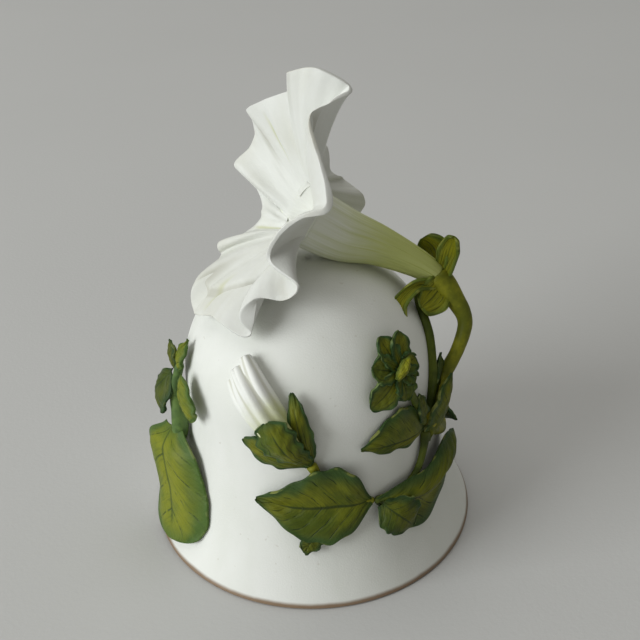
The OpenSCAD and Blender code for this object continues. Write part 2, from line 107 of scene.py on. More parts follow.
class Wire:  # a socket that takes part in sums
    def __init__(self, graph, socket):
        self.graph = graph
        self.socket = socket

    def __add__(self, other):
        return self.graph.sum("ADD", self, other)

    def __sub__(self, other):
        return self.graph.sum("SUBTRACT", self, other)

    def __rsub__(self, other):
        return self.graph.sum("SUBTRACT", other, self)

    def __mul__(self, other):
        return self.graph.sum("MULTIPLY", self, other)

    def __truediv__(self, other):
        return self.graph.sum("DIVIDE", self, other)

    def __pow__(self, other):
        return self.graph.sum("POWER", self, other)

    __radd__ = __add__
    __rmul__ = __mul__


class Graph:
    def __init__(self, tree):
        self.tree = tree
        self.nodes = tree.nodes

    def add(self, kind, settings=None, sockets=None, out=0):
        node = self.nodes.new(kind)
        for key, value in (settings or {}).items():
            if key == "stops":
                elements = node.color_ramp.elements
                while len(elements) < len(value):
                    elements.new(1)
                for element, (place, colour) in zip(elements, value):
                    element.position = place
                    element.color = (*colour, 1)
            else:
                setattr(node, key, value)
        for key, value in (sockets or {}).items():
            self.feed(self.find(node.inputs, key), value)
        return Wire(self, self.find(node.outputs, out))

    def find(self, group, key):
        if isinstance(key, int):
            return group[key]
        return next((s for s in group if s.identifier == key), None) or group[key]

    def feed(self, socket, value):
        if isinstance(value, Wire):
            self.tree.links.new(value.socket, socket)
        elif socket.type == "RGBA" and len(value) == 3:
            socket.default_value = (*value, 1)
        else:
            socket.default_value = value

    def sum(self, operation, *values):
        return self.add("ShaderNodeMath", {"operation": operation}, dict(enumerate(values)))

    def rise(self, value, low, high, kind="SMOOTHSTEP"):
        sockets = {"Value": value, "From Min": low, "From Max": high}
        return self.add("ShaderNodeMapRange", {"interpolation_type": kind}, sockets)

    def mix(self, factor, a, b, blend="MIX"):
        settings = {"data_type": "RGBA", "blend_type": blend}
        sockets = {"Factor_Float": factor, "A_Color": a, "B_Color": b}
        return self.add("ShaderNodeMix", settings, sockets, "Result_Color")

    def noise(self, vector, scale, detail=3.0, distortion=0.0):
        sockets = {"Vector": vector, "Scale": scale, "Detail": detail, "Distortion": distortion}
        return self.add("ShaderNodeTexNoise", {}, sockets, "Fac")

    def stretched(self, vector, scale):
        return self.add("ShaderNodeMapping", {}, {"Vector": vector, "Scale": scale})

    def split(self, vector):
        xyz = self.add("ShaderNodeSeparateXYZ", {}, {0: vector})
        return [Wire(self, s) for s in xyz.socket.node.outputs]

    def stored(self, name):  # a value that the mesh carries, for a material
        return self.add("ShaderNodeAttribute", {"attribute_name": name}, out="Fac")

    def named(self, name):  # the same, for a geometry tree
        return self.add("GeometryNodeInputNamedAttribute", {"data_type": "FLOAT"}, {"Name": name})

    def store(self, geometry, name, value):
        settings = {"data_type": "FLOAT", "domain": "POINT"}
        sockets = {"Geometry": geometry, "Name": name, "Value": value}
        return self.add("GeometryNodeStoreNamedAttribute", settings, sockets)

    def seeded(self, seed, scale, detail):
        sockets = {"W": seed, "Scale": scale, "Detail": detail}
        return self.add("ShaderNodeTexNoise", {"noise_dimensions": "4D"}, sockets)

    def pushed(self, mesh, amount):  # moved along its own normals
        sockets = {0: self.add("GeometryNodeInputNormal"), "Scale": amount}
        lift = self.add("ShaderNodeVectorMath", {"operation": "SCALE"}, sockets)
        return self.add("GeometryNodeSetPosition", {}, {"Geometry": mesh, "Offset": lift})


def newMaterial(name, specular=0.4, metallic=0.0):
    material = bpy.data.materials.new(name)
    material.use_nodes = True
    shader = material.node_tree.nodes["Principled BSDF"]
    shader.inputs["Specular IOR Level"].default_value = specular
    shader.inputs["Metallic"].default_value = metallic
    graph = Graph(material.node_tree)
    graph.material = material
    graph.shader = shader
    graph.place = graph.add("ShaderNodeTexCoord", out="Object")
    graph.uv = graph.add("ShaderNodeTexCoord", out="UV")
    return graph


def finish(graph, colour, roughness, height, depth):
    graph.feed(graph.shader.inputs["Base Color"], colour)
    graph.feed(graph.shader.inputs["Roughness"], roughness)
    sockets = {"Strength": 1.0, "Distance": depth, "Height": height}
    graph.feed(graph.shader.inputs["Normal"], graph.add("ShaderNodeBump", {}, sockets))
    return graph.material


bisque = {
    "light": (0.82, 0.83, 0.80),
    "shade": (0.76, 0.775, 0.73),
    "speck": (0.55, 0.52, 0.45),
    "lipLine": (0.20, 0.115, 0.05),
    "lineTop": 1.7 * mm,
    "roughness": 0.5,  # smoothest
    "grain": 0.05 * mm,
}


def bisqueMaterial(name="bisque", lip=True):
    g = newMaterial(name)
    cloud = g.noise(g.place, 38, 4)
    smear = g.noise(g.stretched(g.place, (1, 1, 0.35)), 120, 3, 0.4)
    colour = g.mix(g.rise(cloud * 0.6 + smear * 0.4, 0.35, 0.68), bisque["light"], bisque["shade"])
    specks = g.rise(g.noise(g.place, 900, 1), 0.74, 0.8)
    colour = g.mix(specks * 0.35, colour, bisque["speck"])
    grain = g.noise(g.place, 2600, 4)
    roughness = bisque["roughness"] + cloud * 0.16
    if lip:
        z = g.split(g.place)[2] + (smear - 0.5) * 0.0006
        line = 1 - g.rise(z, bisque["lineTop"] * 0.45, bisque["lineTop"])
        colour = g.mix(line * 0.92, colour, bisque["lipLine"])
        roughness = roughness - line * 0.2
    return finish(g, colour, roughness, grain + cloud * 1.5, bisque["grain"])


petalPaint = {
    "white": (0.735, 0.745, 0.715),
    "cream": (0.66, 0.665, 0.605),
    # painted shade for the limb's creases and the back lobe
    "paintedShade": (0.40, 0.39, 0.32),
    "rib": (0.50, 0.52, 0.20),
    "throat": (0.66, 0.69, 0.40),
    "edge": (0.62, 0.60, 0.50),
    "roughness": 0.46,
    "grain": 0.06 * mm,
}


def petalMaterial():
    g = newMaterial("petal_white")
    rib = g.stored("rib")
    reach = g.stored("reach")
    cloud = g.noise(g.place, 60, 4)
    streak = g.noise(g.stretched(g.uv, (2, 48, 1)), 1, 3, 0.2)
    colour = g.mix(g.rise(cloud * 0.7 + streak * 0.3, 0.4, 0.72), petalPaint["white"], petalPaint["cream"])
    colour = g.mix((1 - g.rise(reach, 0.0, 0.3)) * 0.05, colour, petalPaint["throat"])
    colour = g.mix(rib * (0.5 + cloud * 0.7), colour, petalPaint["rib"])
    # Painted shade: darker grey-brown along the limb's valleys and creases, and over the back lobe
    paintedShadeMask = g.stored("valley")
    colour = g.mix(g.rise(paintedShadeMask * (0.4 + cloud * 1.2), 0.1, 1.1) * 0.5, colour, petalPaint["paintedShade"])
    rim = g.rise(reach, 0.985, 1.0) * g.rise(cloud, 0.42, 0.6)
    colour = g.mix(rim * 0.35, colour, petalPaint["edge"])
    roughness = petalPaint["roughness"] + streak * 0.16
    relief = streak * 2 + g.noise(g.place, 2400, 3) * 0.6
    return finish(g, colour, roughness, relief, petalPaint["grain"])


trumpetPaint = {
    "white": (0.78, 0.80, 0.70),
    "green": (0.47, 0.51, 0.17),
    "olive": (0.36, 0.40, 0.08),
    "end": (0.20, 0.24, 0.03),
    "roughness": 0.44,
    "grain": 0.07 * mm,
}


def trumpetMaterial():
    g = newMaterial("trumpet")
    way = g.stored("way")
    cloud = g.noise(g.place, 70, 4)
    streak = g.noise(g.stretched(g.uv, (26, 1.6, 1)), 1, 3, 0.3)
    shade = way + (streak - 0.5) * 0.55 + (cloud - 0.5) * 0.2
    colour = g.mix(g.rise(shade, 0.40, 1.05), trumpetPaint["green"], trumpetPaint["white"])
    colour = g.mix(g.rise(streak, 0.54, 0.7) * (1 - g.rise(way, 0.35, 0.8)), colour, trumpetPaint["olive"])
    colour = g.mix(1 - g.rise(way, 0.0, 0.05), colour, trumpetPaint["end"])
    roughness = trumpetPaint["roughness"] + cloud * 0.14
    relief = streak * 1.5 + g.noise(g.place, 2400, 3) * 0.6
    return finish(g, colour, roughness, relief, trumpetPaint["grain"])


leafPaints = {
    "leaf": dict(centre=(0.150, 0.162, 0.007), body=(0.066, 0.092, 0.005), margin=(0.027, 0.070, 0.017),
         vein=(0.012, 0.026, 0.005), light=(0.36, 0.37, 0.09), veins=7),
    "leaf_dark": dict(centre=(0.100, 0.115, 0.006), body=(0.052, 0.078, 0.006),
         margin=(0.020, 0.055, 0.016), vein=(0.016, 0.034, 0.008), light=(0.25, 0.28, 0.08), veins=6),
    "leaf_pale": dict(centre=(0.205, 0.225, 0.014), body=(0.125, 0.165, 0.014),
         margin=(0.055, 0.120, 0.022), vein=(0.045, 0.075, 0.012), light=(0.30, 0.34, 0.12), veins=4),
    "sepal_green": dict(centre=(0.155, 0.165, 0.008), body=(0.075, 0.110, 0.009),
         margin=(0.026, 0.075, 0.022), vein=(0.012, 0.028, 0.006), light=(0.22, 0.27, 0.09), veins=0),
    "petiole_leaf": dict(centre=(0.27, 0.27, 0.010), body=(0.20, 0.21, 0.009), margin=(0.11, 0.16, 0.022),
         vein=(0.045, 0.06, 0.006), light=(0.40, 0.40, 0.08), veins=0),
}
leafSkin = {"specular": 0.22, "roughness": 0.40, "grain": 0.1 * mm}
veinSlope = 0.3  # how far a side vein runs towards the tip, as a share of the length


def leafMaterial(name):
    paint = leafPaints[name]
    g = newMaterial(name, leafSkin["specular"])
    s, t, _ = g.split(g.uv)
    cloud = g.noise(g.place, 130, 4)
    drift = g.noise(g.place, 260, 2) - 0.5
    side = g.sum("ABSOLUTE", t * 2 - 1)
    edge = g.rise(side + (cloud - 0.5) * 0.8, 0.5, 0.98)
    ends = g.rise(g.sum("ABSOLUTE", s * 2 - 1) + (cloud - 0.5) * 0.5, 0.72, 1.0)
    colour = g.mix(g.rise(cloud, 0.36, 0.62), paint["body"], paint["centre"])
    colour = g.mix(g.sum("MINIMUM", edge + ends * 0.7, 1.0) * 0.9, colour, paint["margin"])
    if paint["veins"]:
        phase = (s - side * veinSlope + drift * 0.04) * paint["veins"]
        near = g.sum("ABSOLUTE", g.sum("FRACT", phase) - 0.5)
        faint = g.rise(g.noise(g.place, 420, 2), 0.38, 0.6)
        line = g.rise(near, 0.445, 0.49) * (1 - g.rise(side, 0.7, 0.98)) * faint
        stroke = g.noise(g.add("ShaderNodeCombineXYZ", {}, {0: phase * 7, 1: side * 2.5}), 1, 2)
    else:
        stroke = g.noise(g.stretched(g.uv, (2, 34, 1)), 1, 2, 0.4)
        line = g.rise(stroke, 0.56, 0.68) * (1 - g.rise(s, 0.7, 1.0))
    colour = g.mix(g.rise(stroke, 0.45, 0.75) * 0.4, colour, paint["vein"])
    colour = g.mix(line * 0.85, colour, paint["vein"])
    rib = 1 - g.rise(side + drift * 0.05, 0.015, 0.06)
    colour = g.mix(rib * (1 - g.rise(s, 0.75, 0.95)) * 0.75, colour, paint["vein"])
    lightEdge = g.rise(side, 0.93, 0.99) * g.rise(g.noise(g.place, 300, 2), 0.5, 0.62)
    colour = g.mix(lightEdge * 0.5, colour, paint["light"])
    roughness = leafSkin["roughness"] + cloud * 0.2
    relief = stroke * 1.2 + g.noise(g.place, 2200, 3) * 0.8 - line
    return finish(g, colour, roughness, relief, leafSkin["grain"])


stalkPaint = {
    "green": (0.25, 0.25, 0.014),
    "dark": (0.11, 0.125, 0.008),
    "olive": (0.31, 0.27, 0.022),
    "roughness": 0.42,
}


def stalkMaterial(name="stalk", tint=None):
    g = newMaterial(name, leafSkin["specular"])
    cloud = g.noise(g.place, 210, 4)
    grain = g.noise(g.place, 900, 4)
    colour = g.mix(g.rise(cloud, 0.38, 0.64), stalkPaint["dark"], stalkPaint["green"])
    colour = g.mix(g.rise(g.noise(g.place, 90, 2), 0.5, 0.7) * 0.7, colour, stalkPaint["olive"])
    colour = g.mix(g.rise(grain, 0.55, 0.75) * 0.5, colour, stalkPaint["dark"])
    if tint:
        colour = g.mix(1.0, colour, tint, "MULTIPLY")
    return finish(g, colour, stalkPaint["roughness"] + cloud * 0.2, grain + cloud, leafSkin["grain"])


budPaint = {
    "white": (0.84, 0.85, 0.82),
    # painted shade for the grooves between the pleats
    "groove": (0.56, 0.56, 0.46),
    "base": (0.52, 0.56, 0.17),
    "roughness": 0.46,
    "grain": 0.05 * mm,
}


def budMaterial():
    g = newMaterial("bud_white")
    way = g.stored("way")
    valley = g.stored("valley")
    cloud = g.noise(g.place, 160, 4)
    grain = g.noise(g.place, 2000, 3)
    # Painted shade: grey in the grooves between the bud's pleats
    colour = g.mix(g.rise(valley, 0.55, 1.0) * 0.7, budPaint["white"], budPaint["groove"])
    low = 1 - g.rise(way + (cloud - 0.5) * 0.35, 0.22, 0.66)
    colour = g.mix(low * 0.9, colour, budPaint["base"])
    return finish(g, colour, budPaint["roughness"] + cloud * 0.12, grain, budPaint["grain"])


brass = {
    "bright": (0.80, 0.60, 0.27),
    "dull": (0.42, 0.29, 0.12),
    "specular": 0.5,
    "roughness": 0.24,
    "grain": 0.02 * mm,
}


def brassMaterial():
    g = newMaterial("brass", brass["specular"], 1.0)
    cloud = g.noise(g.place, 420, 4)
    brushed = g.noise(g.stretched(g.place, (1, 1, 14)), 700, 3)
    colour = g.mix(g.rise(cloud, 0.45, 0.72), brass["bright"], brass["dull"])
    return finish(g, colour, brass["roughness"] + brushed * 0.26, brushed, brass["grain"])


floor = {
    "dark": (0.56, 0.56, 0.555),
    "light": (0.60, 0.60, 0.595),
    "specular": 0.1,
    "roughness": 0.8,
    "grain": 0.05 * mm,
    "half": 3.0,  # metres
}


def floorMaterial():
    g = newMaterial("floor", floor["specular"])
    cloud = g.noise(g.place, 6, 3)
    colour = g.mix(cloud, floor["dark"], floor["light"])
    return finish(g, colour, floor["roughness"] + cloud * 0.1, g.noise(g.place, 900, 3), floor["grain"])


# Smooth curve through points, for t from 0 to 1
def along(points, t):
    p = np.asarray(points, float)
    n = len(p) - 1
    u = np.clip(np.asarray(t, float), 0, 0.99999) * n
    i = np.floor(u).astype(int)
    f = (u - i).reshape(u.shape + (1,) * (p.ndim - 1))
    a, b, c, d = p[np.maximum(i - 1, 0)], p[i], p[i + 1], p[np.minimum(i + 2, n)]
    cubic = (3 * b - a - 3 * c + d) * f**3
    return 0.5 * (2 * b + (c - a) * f + (2 * a - 5 * b + 4 * c - d) * f**2 + cubic)


def held(value):  # between 0 and 1
    return np.clip(value, 0, 1)


def unit(v):
    return v / np.linalg.norm(v, axis=-1, keepdims=True)


bell = {
    "rim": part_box("bell_skirt")[1].x,
    "waist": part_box("bell_dome")[1].x,
    "shoulder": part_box("bell_skirt")[1].z,
    "height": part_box("bell_crown")[1].z,
    "flare": 2.4,
    "wall": 3 * mm,
    "lip": 0.5 * mm,  # height of the lip's rounding
}
shellSizes = {
    "Rim radius": bell["rim"],
    "Waist radius": bell["waist"],
    "Shoulder": bell["shoulder"],
    "Height": bell["height"],
    "Flare": bell["flare"],
    "Wall": bell["wall"],
    "Lip": bell["lip"],
    "Around": 256,
    "Rows": 150,
    "Hand work": 0.35 * mm,
    "Grain": 45.0,
    "Seed": 3.0,
}


def bellRadius(z):
    low = held(1 - z / bell["shoulder"])
    skirt = bell["waist"] + (bell["rim"] - bell["waist"]) * low ** bell["flare"]
    up = held((z - bell["shoulder"]) / (bell["height"] - bell["shoulder"]))
    return np.where(z < bell["shoulder"], skirt, bell["waist"] * np.sqrt(1 - up**2))


def bellSlope(z):
    return (bellRadius(z + 0.05 * mm) - bellRadius(z - 0.05 * mm)) / (0.1 * mm)


# Point over the bell's skin: degrees round from the front, height, and lift along the slope's normal
def onBell(azimuth, z, lift):
    slope = bellSlope(z)
    k = 1 / np.hypot(1, slope)
    r = bellRadius(z) + lift * k
    a = np.radians(azimuth)
    return np.stack([r * np.sin(a), -r * np.cos(a), z - lift * slope * k], -1)


# The same by share of the bell's height and a lift in mm
def spot(azimuth, share, lift):
    return onBell(np.float64(azimuth), np.float64(share * bell["height"]), lift * mm)


def spots(*places):
    return [spot(*entry) for entry in places]


def newObject(name, vertices, faces, material, edges=()):
    mesh = bpy.data.meshes.new(name)
    mesh.from_pydata([tuple(v) for v in vertices], list(edges), faces)
    mesh.shade_smooth()
    mesh.materials.append(material)
    obj = bpy.data.objects.new(name, mesh)
    scene.collection.objects.link(obj)
    return obj


# Faces of a closed mesh turned to point out
def outward(obj):
    bm = bmesh.new()
    bm.from_mesh(obj.data)
    if bm.calc_volume(signed=True) < 0:
        bmesh.ops.reverse_faces(bm, faces=bm.faces)
    bm.to_mesh(obj.data)
    bm.free()


def setUv(obj, perVertex):
    layer = obj.data.uv_layers.new(name="uv")
    index = np.zeros(len(obj.data.loops), int)
    obj.data.loops.foreach_get("vertex_index", index)
    layer.data.foreach_set("uv", np.asarray(perVertex, float)[index].ravel())


def setValue(obj, name, perVertex):
    data = obj.data.attributes.new(name, "FLOAT", "POINT")
    data.data.foreach_set("value", np.asarray(perVertex, float).ravel())


# Steps from 0 to 1 that crowd towards both ends
def evened(n, push):
    x = np.linspace(0, 1, n)
    return (1 - push) * x + push * (1 - np.cos(np.pi * x)) / 2


# Closed sheet: a surface over s, 0 to 1, and t, -1 to 1, raised by relief and made thick below it
def sheet(name, surface, material, thick, rows, columns, relief, facing=None):
    s, t = np.meshgrid(evened(rows, 0.6), 2 * evened(columns, 0.4) - 1, indexing="ij")
    p = surface(s, t)
    normal = unit(np.cross(np.gradient(p, axis=0), np.gradient(p, axis=1)))
    out = p * (1, 1, 0) if facing is None else np.broadcast_to(facing, p.shape)
    if np.sum(normal * out) < 0:
        normal = -normal
    top = p + normal * relief(s, t)[..., None]
    low = p - normal * thick(s, t)[..., None]
    m = rows * columns
    grid = np.arange(m).reshape(rows, columns)
    a, b, c, d = grid[:-1, :-1], grid[1:, :-1], grid[1:, 1:], grid[:-1, 1:]
    quads = np.stack([a, b, c, d], -1).reshape(-1, 4)
    faces = quads.tolist() + (quads[:, ::-1] + m).tolist()
    ring = list(grid[0, :]) + list(grid[1:, -1]) + list(grid[-1, -2::-1]) + list(grid[-2:0:-1, 0])
    for i, j in zip(ring, ring[1:] + ring[:1]):
        faces.append([int(i), int(j), int(j) + m, int(i) + m])
    obj = newObject(name, np.concatenate([top.reshape(-1, 3), low.reshape(-1, 3)]), faces, material)
    outward(obj)
    uv = np.stack([s, (t + 1) / 2], -1).reshape(-1, 2)
    setUv(obj, np.concatenate([uv, uv]))
    modifier = obj.modifiers.new("smooth", "SUBSURF")
    modifier.levels = 1
    modifier.render_levels = 1
    return obj, s, t


# Closed tube through rings of points, with flat ends, or led back into its first ring
def rings(name, rows, material, looped=False):
    count = len(rows[0])
    faces = []
    for i in range(len(rows) if looped else len(rows) - 1):
        here, there = i * count, (i + 1) % len(rows) * count
        for j in range(count):
            k = (j + 1) % count
            faces.append([here + j, there + j, there + k, here + k])
    if not looped:
        faces.append(list(range(count)))
        faces.append([(len(rows) - 1) * count + j for j in reversed(range(count))])
    obj = newObject(name, np.concatenate(rows), faces, material)
    outward(obj)
    return obj


def newTree(name, sizes):
    tree = bpy.data.node_groups.new(name, "GeometryNodeTree")
    tree.interface.new_socket("Geometry", in_out="INPUT", socket_type="NodeSocketGeometry")
    kinds = {float: "Float", int: "Int", type(None): "Material"}
    for label, value in sizes.items():
        kind = "NodeSocket" + kinds[type(value)]
        socket = tree.interface.new_socket(label, in_out="INPUT", socket_type=kind)
        if value is not None:
            socket.default_value = value
    tree.interface.new_socket("Geometry", in_out="OUTPUT", socket_type="NodeSocketGeometry")
    graph = Graph(tree)
    source = tree.nodes.new("NodeGroupInput")
    return graph, {s.name: Wire(graph, s) for s in source.outputs if s.name}


def endTree(graph, geometry, material):
    geometry = graph.add("GeometryNodeSetShadeSmooth", {}, {"Geometry": geometry})
    geometry = graph.add("GeometryNodeRealizeInstances", {}, {"Geometry": geometry})
    geometry = graph.add("GeometryNodeSetMaterial", {}, {"Geometry": geometry, "Material": material})
    graph.tree.links.new(geometry.socket, graph.nodes.new("NodeGroupOutput").inputs[0])


def shellTree():
    g, size = newTree("bell shell", {**shellSizes, "Material": None})
    sockets = {"Size X": 1, "Size Y": 1, "Vertices X": size["Around"], "Vertices Y": size["Rows"]}
    grid = g.add("GeometryNodeMeshGrid", {}, sockets)
    x, y, _ = g.split(g.add("GeometryNodeInputPosition"))
    turn = x * (2 * math.pi)
    climb = 1 - g.sum("ABSOLUTE", y * 2)  # 0 at the lip, 1 at the crown, outside and inside
    inner = g.sum("GREATER_THAN", y, 0.0)
    lipShare, skirtShare = 0.08, 0.6
    bend = g.rise(climb, 0, lipShare, "LINEAR") * (math.pi / 2)
    skirt = g.rise(climb, lipShare, skirtShare, "LINEAR")
    dome = g.rise(climb, skirtShare, 1, "LINEAR") * (math.pi / 2)
    within = inner * size["Wall"]
    z = size["Lip"] * (1 - g.sum("COSINE", bend)) + (size["Shoulder"] - size["Lip"]) * skirt
    below = g.sum("MAXIMUM", 1 - z / size["Shoulder"], 0.0)
    flare = (size["Rim radius"] - size["Waist radius"]) * below ** size["Flare"]
    rounding = size["Wall"] * 0.5 * (1 - g.sum("SINE", bend)) * (1 - inner * 2)
    radius = (size["Waist radius"] - within) * g.sum("COSINE", dome) + flare - rounding
    z = z + (size["Height"] - size["Shoulder"] - within) * g.sum("SINE", dome)
    xyz = {"X": radius * g.sum("SINE", turn), "Y": 0 - radius * g.sum("COSINE", turn), "Z": z}
    xyz = g.add("ShaderNodeCombineXYZ", {}, xyz)
    mesh = g.add("GeometryNodeSetPosition", {}, {"Geometry": grid, "Position": xyz})
    mesh = g.add("GeometryNodeMergeByDistance", {}, {"Geometry": mesh, "Distance": 0.02 * mm})
    wobble = g.seeded(size["Seed"], size["Grain"], 1.0)
    above = g.split(g.add("GeometryNodeInputPosition"))[2]
    mesh = g.pushed(mesh, (wobble - 0.5) * size["Hand work"] * g.rise(above, 1 * mm, 6 * mm))
    endTree(g, mesh, size["Material"])
    return g.tree


def stalkTree():
    sizes = {
        "Sides": 28,
        "Lobes": 0.0,
        "Lobe depth": 0.0,
        "Twist": 0.0,
        "Hand work": 0.3 * mm,
        "Grain": 260.0,
        "Seed": 1.0,
        "Material": None,
    }
    g, size = newTree("stalk", sizes)
    thick = g.named("thickness")
    curve = g.add("GeometryNodeMeshToCurve", {}, {"Mesh": size["Geometry"]})
    curve = g.store(curve, "way", g.add("GeometryNodeSplineParameter"))
    profile = g.add("GeometryNodeCurvePrimitiveCircle", {}, {"Resolution": size["Sides"], "Radius": 1.0})
    profile = g.store(profile, "turn", g.add("GeometryNodeSplineParameter"))
    sockets = {"Curve": curve, "Profile Curve": profile, "Scale": thick, "Fill Caps": True}
    mesh = g.add("GeometryNodeCurveToMesh", {}, sockets)
    angle = g.named("turn") * size["Lobes"] * (2 * math.pi) + g.named("way") * size["Twist"]
    wave = g.sum("COSINE", angle)
    # how deep in a groove each point lies; the bud material greys it as painted shade
    mesh = g.store(mesh, "valley", 0.5 - wave * 0.5)
    noise = g.seeded(size["Seed"], size["Grain"], 2.0)
    mesh = g.pushed(mesh, (noise - 0.5) * size["Hand work"] + wave * size["Lobe depth"] * thick)
    endTree(g, mesh, size["Material"])
    return g.tree


# Runs a tree on an object and keeps the result as a plain mesh
def applyTree(obj, tree, values):
    modifier = obj.modifiers.new("build", "NODES")
    modifier.node_group = tree
    keys = {item.name: item.identifier for item in tree.interface.items_tree if item.in_out == "INPUT"}
    for label, value in values.items():
        modifier[keys[label]] = value
    graph = bpy.context.evaluated_depsgraph_get()
    mesh = bpy.data.meshes.new_from_object(obj.evaluated_get(graph))
    obj.modifiers.clear()
    obj.data = mesh
    mesh.shade_smooth()
    outward(obj)
    return obj


trees = {"shell": shellTree(), "stalk": stalkTree()}
looks = {
    "bisque": bisqueMaterial(),
    "bisquePlain": bisqueMaterial("bisque_plain", False),
    "petal": petalMaterial(),
    "trumpet": trumpetMaterial(),
    "leaf": leafMaterial("leaf"),
    "leafDark": leafMaterial("leaf_dark"),
    "leafPale": leafMaterial("leaf_pale"),
    "budSepal": leafMaterial("sepal_green"),
    "calyx": leafMaterial("petiole_leaf"),
    "stalk": stalkMaterial(),
    "stalkDark": stalkMaterial("stalk_dark", (0.34, 0.45, 0.7)),
    "stalkPale": stalkMaterial("stalk_pale", (0.62, 1.0, 4.5)),
    "bud": budMaterial(),
    "brass": brassMaterial(),
}
print("materials and node trees made")


def place(obj, slot, *nodes, body="bell"):
    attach(obj, body)
    if nodes:
        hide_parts(*nodes)


def makeBell():
    start = newObject("bell_shell", [(0, 0, 0)], [], looks["bisque"])
    shell = applyTree(start, trees["shell"], {**shellSizes, "Material": looks["bisque"]})
    place(shell, "bisque", "bell_skirt", "bell_dome", "bell_crown")


boss = {
    "edge": 0.8 * mm,
    "straight": 3 * mm,  # height of the straight side below the fillet
    "fillet": 5.2 * mm,
    "bore": 4 * mm,
    "tight": 0.98,  # the bore as a share of the bush it grips
    "sides": 96,
}


def makeBoss():
    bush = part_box("swivel_bush")
    radius = bush[1].x + bell["wall"]
    low, high = bush[0].z, bell["height"] - bell["wall"] / 2
    bore = bush[1].x * boss["tight"]
    e = boss["edge"]
    profile = [
        (bore, low + boss["bore"]),
        (bore, low + e * 0.4),
        (bore + e * 0.4, low),
        (radius - e, low),
        (radius - e * 0.3, low + e * 0.3),
        (radius, low + e),
        (radius, low + boss["straight"]),
        (radius + e, low + boss["fillet"]),
        (radius + e * 3, high),
        (bore, high),
    ]
    a = np.linspace(0, 2 * np.pi, boss["sides"], endpoint=False)
    rows = [np.stack([r * np.cos(a), r * np.sin(a), z + 0 * a], -1) for r, z in profile]
    place(rings("crown_boss", rows, looks["bisquePlain"], True), "bisque")


cadLooks = {
    "swivel_bush": "brass",
    "swivel_eye": "brass",
    "clapper_wire": "brass",
    "clapper_ball": "bisquePlain",
    "flower_pad": "bisquePlain",
}


def dressCad():
    for name, look in cadLooks.items():
        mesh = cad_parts[name].data
        mesh.materials.clear()
        mesh.materials.append(looks[look])


flower = {
    "throat": np.array([-1.5, 0, 0]) * mm + (0, 0, bell["height"] + 11.5 * mm),
    "mouth": unit(np.array([-0.87, -0.13, 0.48])),
    "ring": 6.4 * mm,
    "calyx": np.array([bell["waist"] - 0.7 * mm, 2 * mm, bell["height"] - 6.4 * mm]),
    "radii": [2.8, 3.4, 4.7, 6.4, 7.0],
    "tube": 1.5 * mm,
    "petal": 1.2 * mm,
    "seat": 0.6 * mm,  # how far the limb starts behind the throat
    "bowl": 0.14,  # share of the limb that closes the throat
    "bowlDepth": 5 * mm,
    "bowlClosed": 0.995,
}
throat, mouth = flower["throat"], flower["mouth"]
mouthUp = unit(np.array([0, 0, 1]) - mouth[2] * mouth)
mouthFar = np.cross(mouth, mouthUp)

# Rim of each lobe as offsets from the throat in mm, and where it starts and ends round the throat
lobes = [
    dict(rim=[(-2, 3, 31), (4, 0, 33), (11, -3, 30), (7, -7, 29), (2, -10, 27)], turn=(34, -26),
         lip=(2, 4, 5, 4, 2), fold=1),
    dict(rim=[(2, -10, 27), (4, -16, 20), (6, -21, 12), (0, -21, 10), (-5, -18, 4), (-7, -18, -2)],
         turn=(-26, -98), lip=2, fold=1),
    dict(rim=[(-7, -18, -2), (-1, -22, -6), (-4, -22, -9), (-10, -20, -10), (-12, -23, -17),
         (-18, -19, -16), (-21, -14, -17), (-25, -8, -20), (-25, -3, -15), (-19, 5, -14)], turn=(-98, -192),
         lip=3, fold=1),
    dict(rim=[(-19, 5, -14), (-18, 6, -11), (-11, 9, -8), (-8, 11, -4), (-13, 17, 0), (-14, 19, 3)],
         turn=(-192, -246), lip=2, fold=1),
    dict(rim=[(-14, 19, 3), (-10, 18, 11), (-12, 17, 17), (-7, 14, 21), (-1, 9, 25)], turn=(-246, -330),
         lip=1, fold=2),
]


def limbTable():
    rims, turns, lips, folds = [], [], [], []
    for lobe in lobes:
        n = len(lobe["rim"]) - 1
        for i, point in enumerate(lobe["rim"]):
            if rims and i == 0:
                continue
            share = i / n
            rims.append(point)
            turns.append(lobe["turn"][0] + (lobe["turn"][1] - lobe["turn"][0]) * share)
            lips.append(lobe["lip"][i] if isinstance(lobe["lip"], tuple) else lobe["lip"])
            folds.append(lobe["fold"] * math.exp(-(((share - 0.5) / 0.14) ** 2)))
    return np.array(rims, float) * mm, np.array(turns), np.array(lips) * mm, np.array(folds) * mm


limbRims, limbTurns, limbLips, limbFolds = limbTable()


# From the ring round the throat out to a rim point, leaving along the mouth and landing on a lip
def lobeCurve(s, turn, edge, lip):
    base = throat - flower["seat"] * mouth
    base = base + flower["ring"] * (np.cos(turn) * mouthUp + np.sin(turn) * mouthFar)
    span = edge - base
    reach = np.linalg.norm(span, axis=-1, keepdims=True)
    one = base + mouth * reach * 0.15 + (base - throat) * 0.3
    two = edge + mouth * lip - span * 0.25
    w = 1 - s
    return base, w**3 * base + 3 * w * w * s * one + 3 * w * s * s * two + s**3 * edge


def limbPoint(s, q):
    bowl = held(s / flower["bowl"])[..., None] * (np.pi / 2)
    s = held((s - flower["bowl"]) / (1 - flower["bowl"]))[..., None]
    turn = np.radians(along(limbTurns, q))[..., None]
    lip = along(limbLips, q)[..., None]
    base, curve = lobeCurve(s, turn, throat + along(limbRims, q), lip)
    curve = curve - (base - throat) * (1 - np.sin(bowl)) * flower["bowlClosed"]
    crease = along(limbFolds, q)[..., None] * np.sin(np.pi * s)
    return curve - mouth * (crease + flower["bowlDepth"] * np.cos(bowl) ** 2)


# Painted midribs: place round the limb, from and to along the lobe
ribs = [
    (0.1, 0.24, 0.75),
    (0.3, 0.24, 0.8),
    (0.575, 0.6, 0.95),
    (0.74, 0.24, 0.95),
    (0.955, 0.42, 0.9),
]
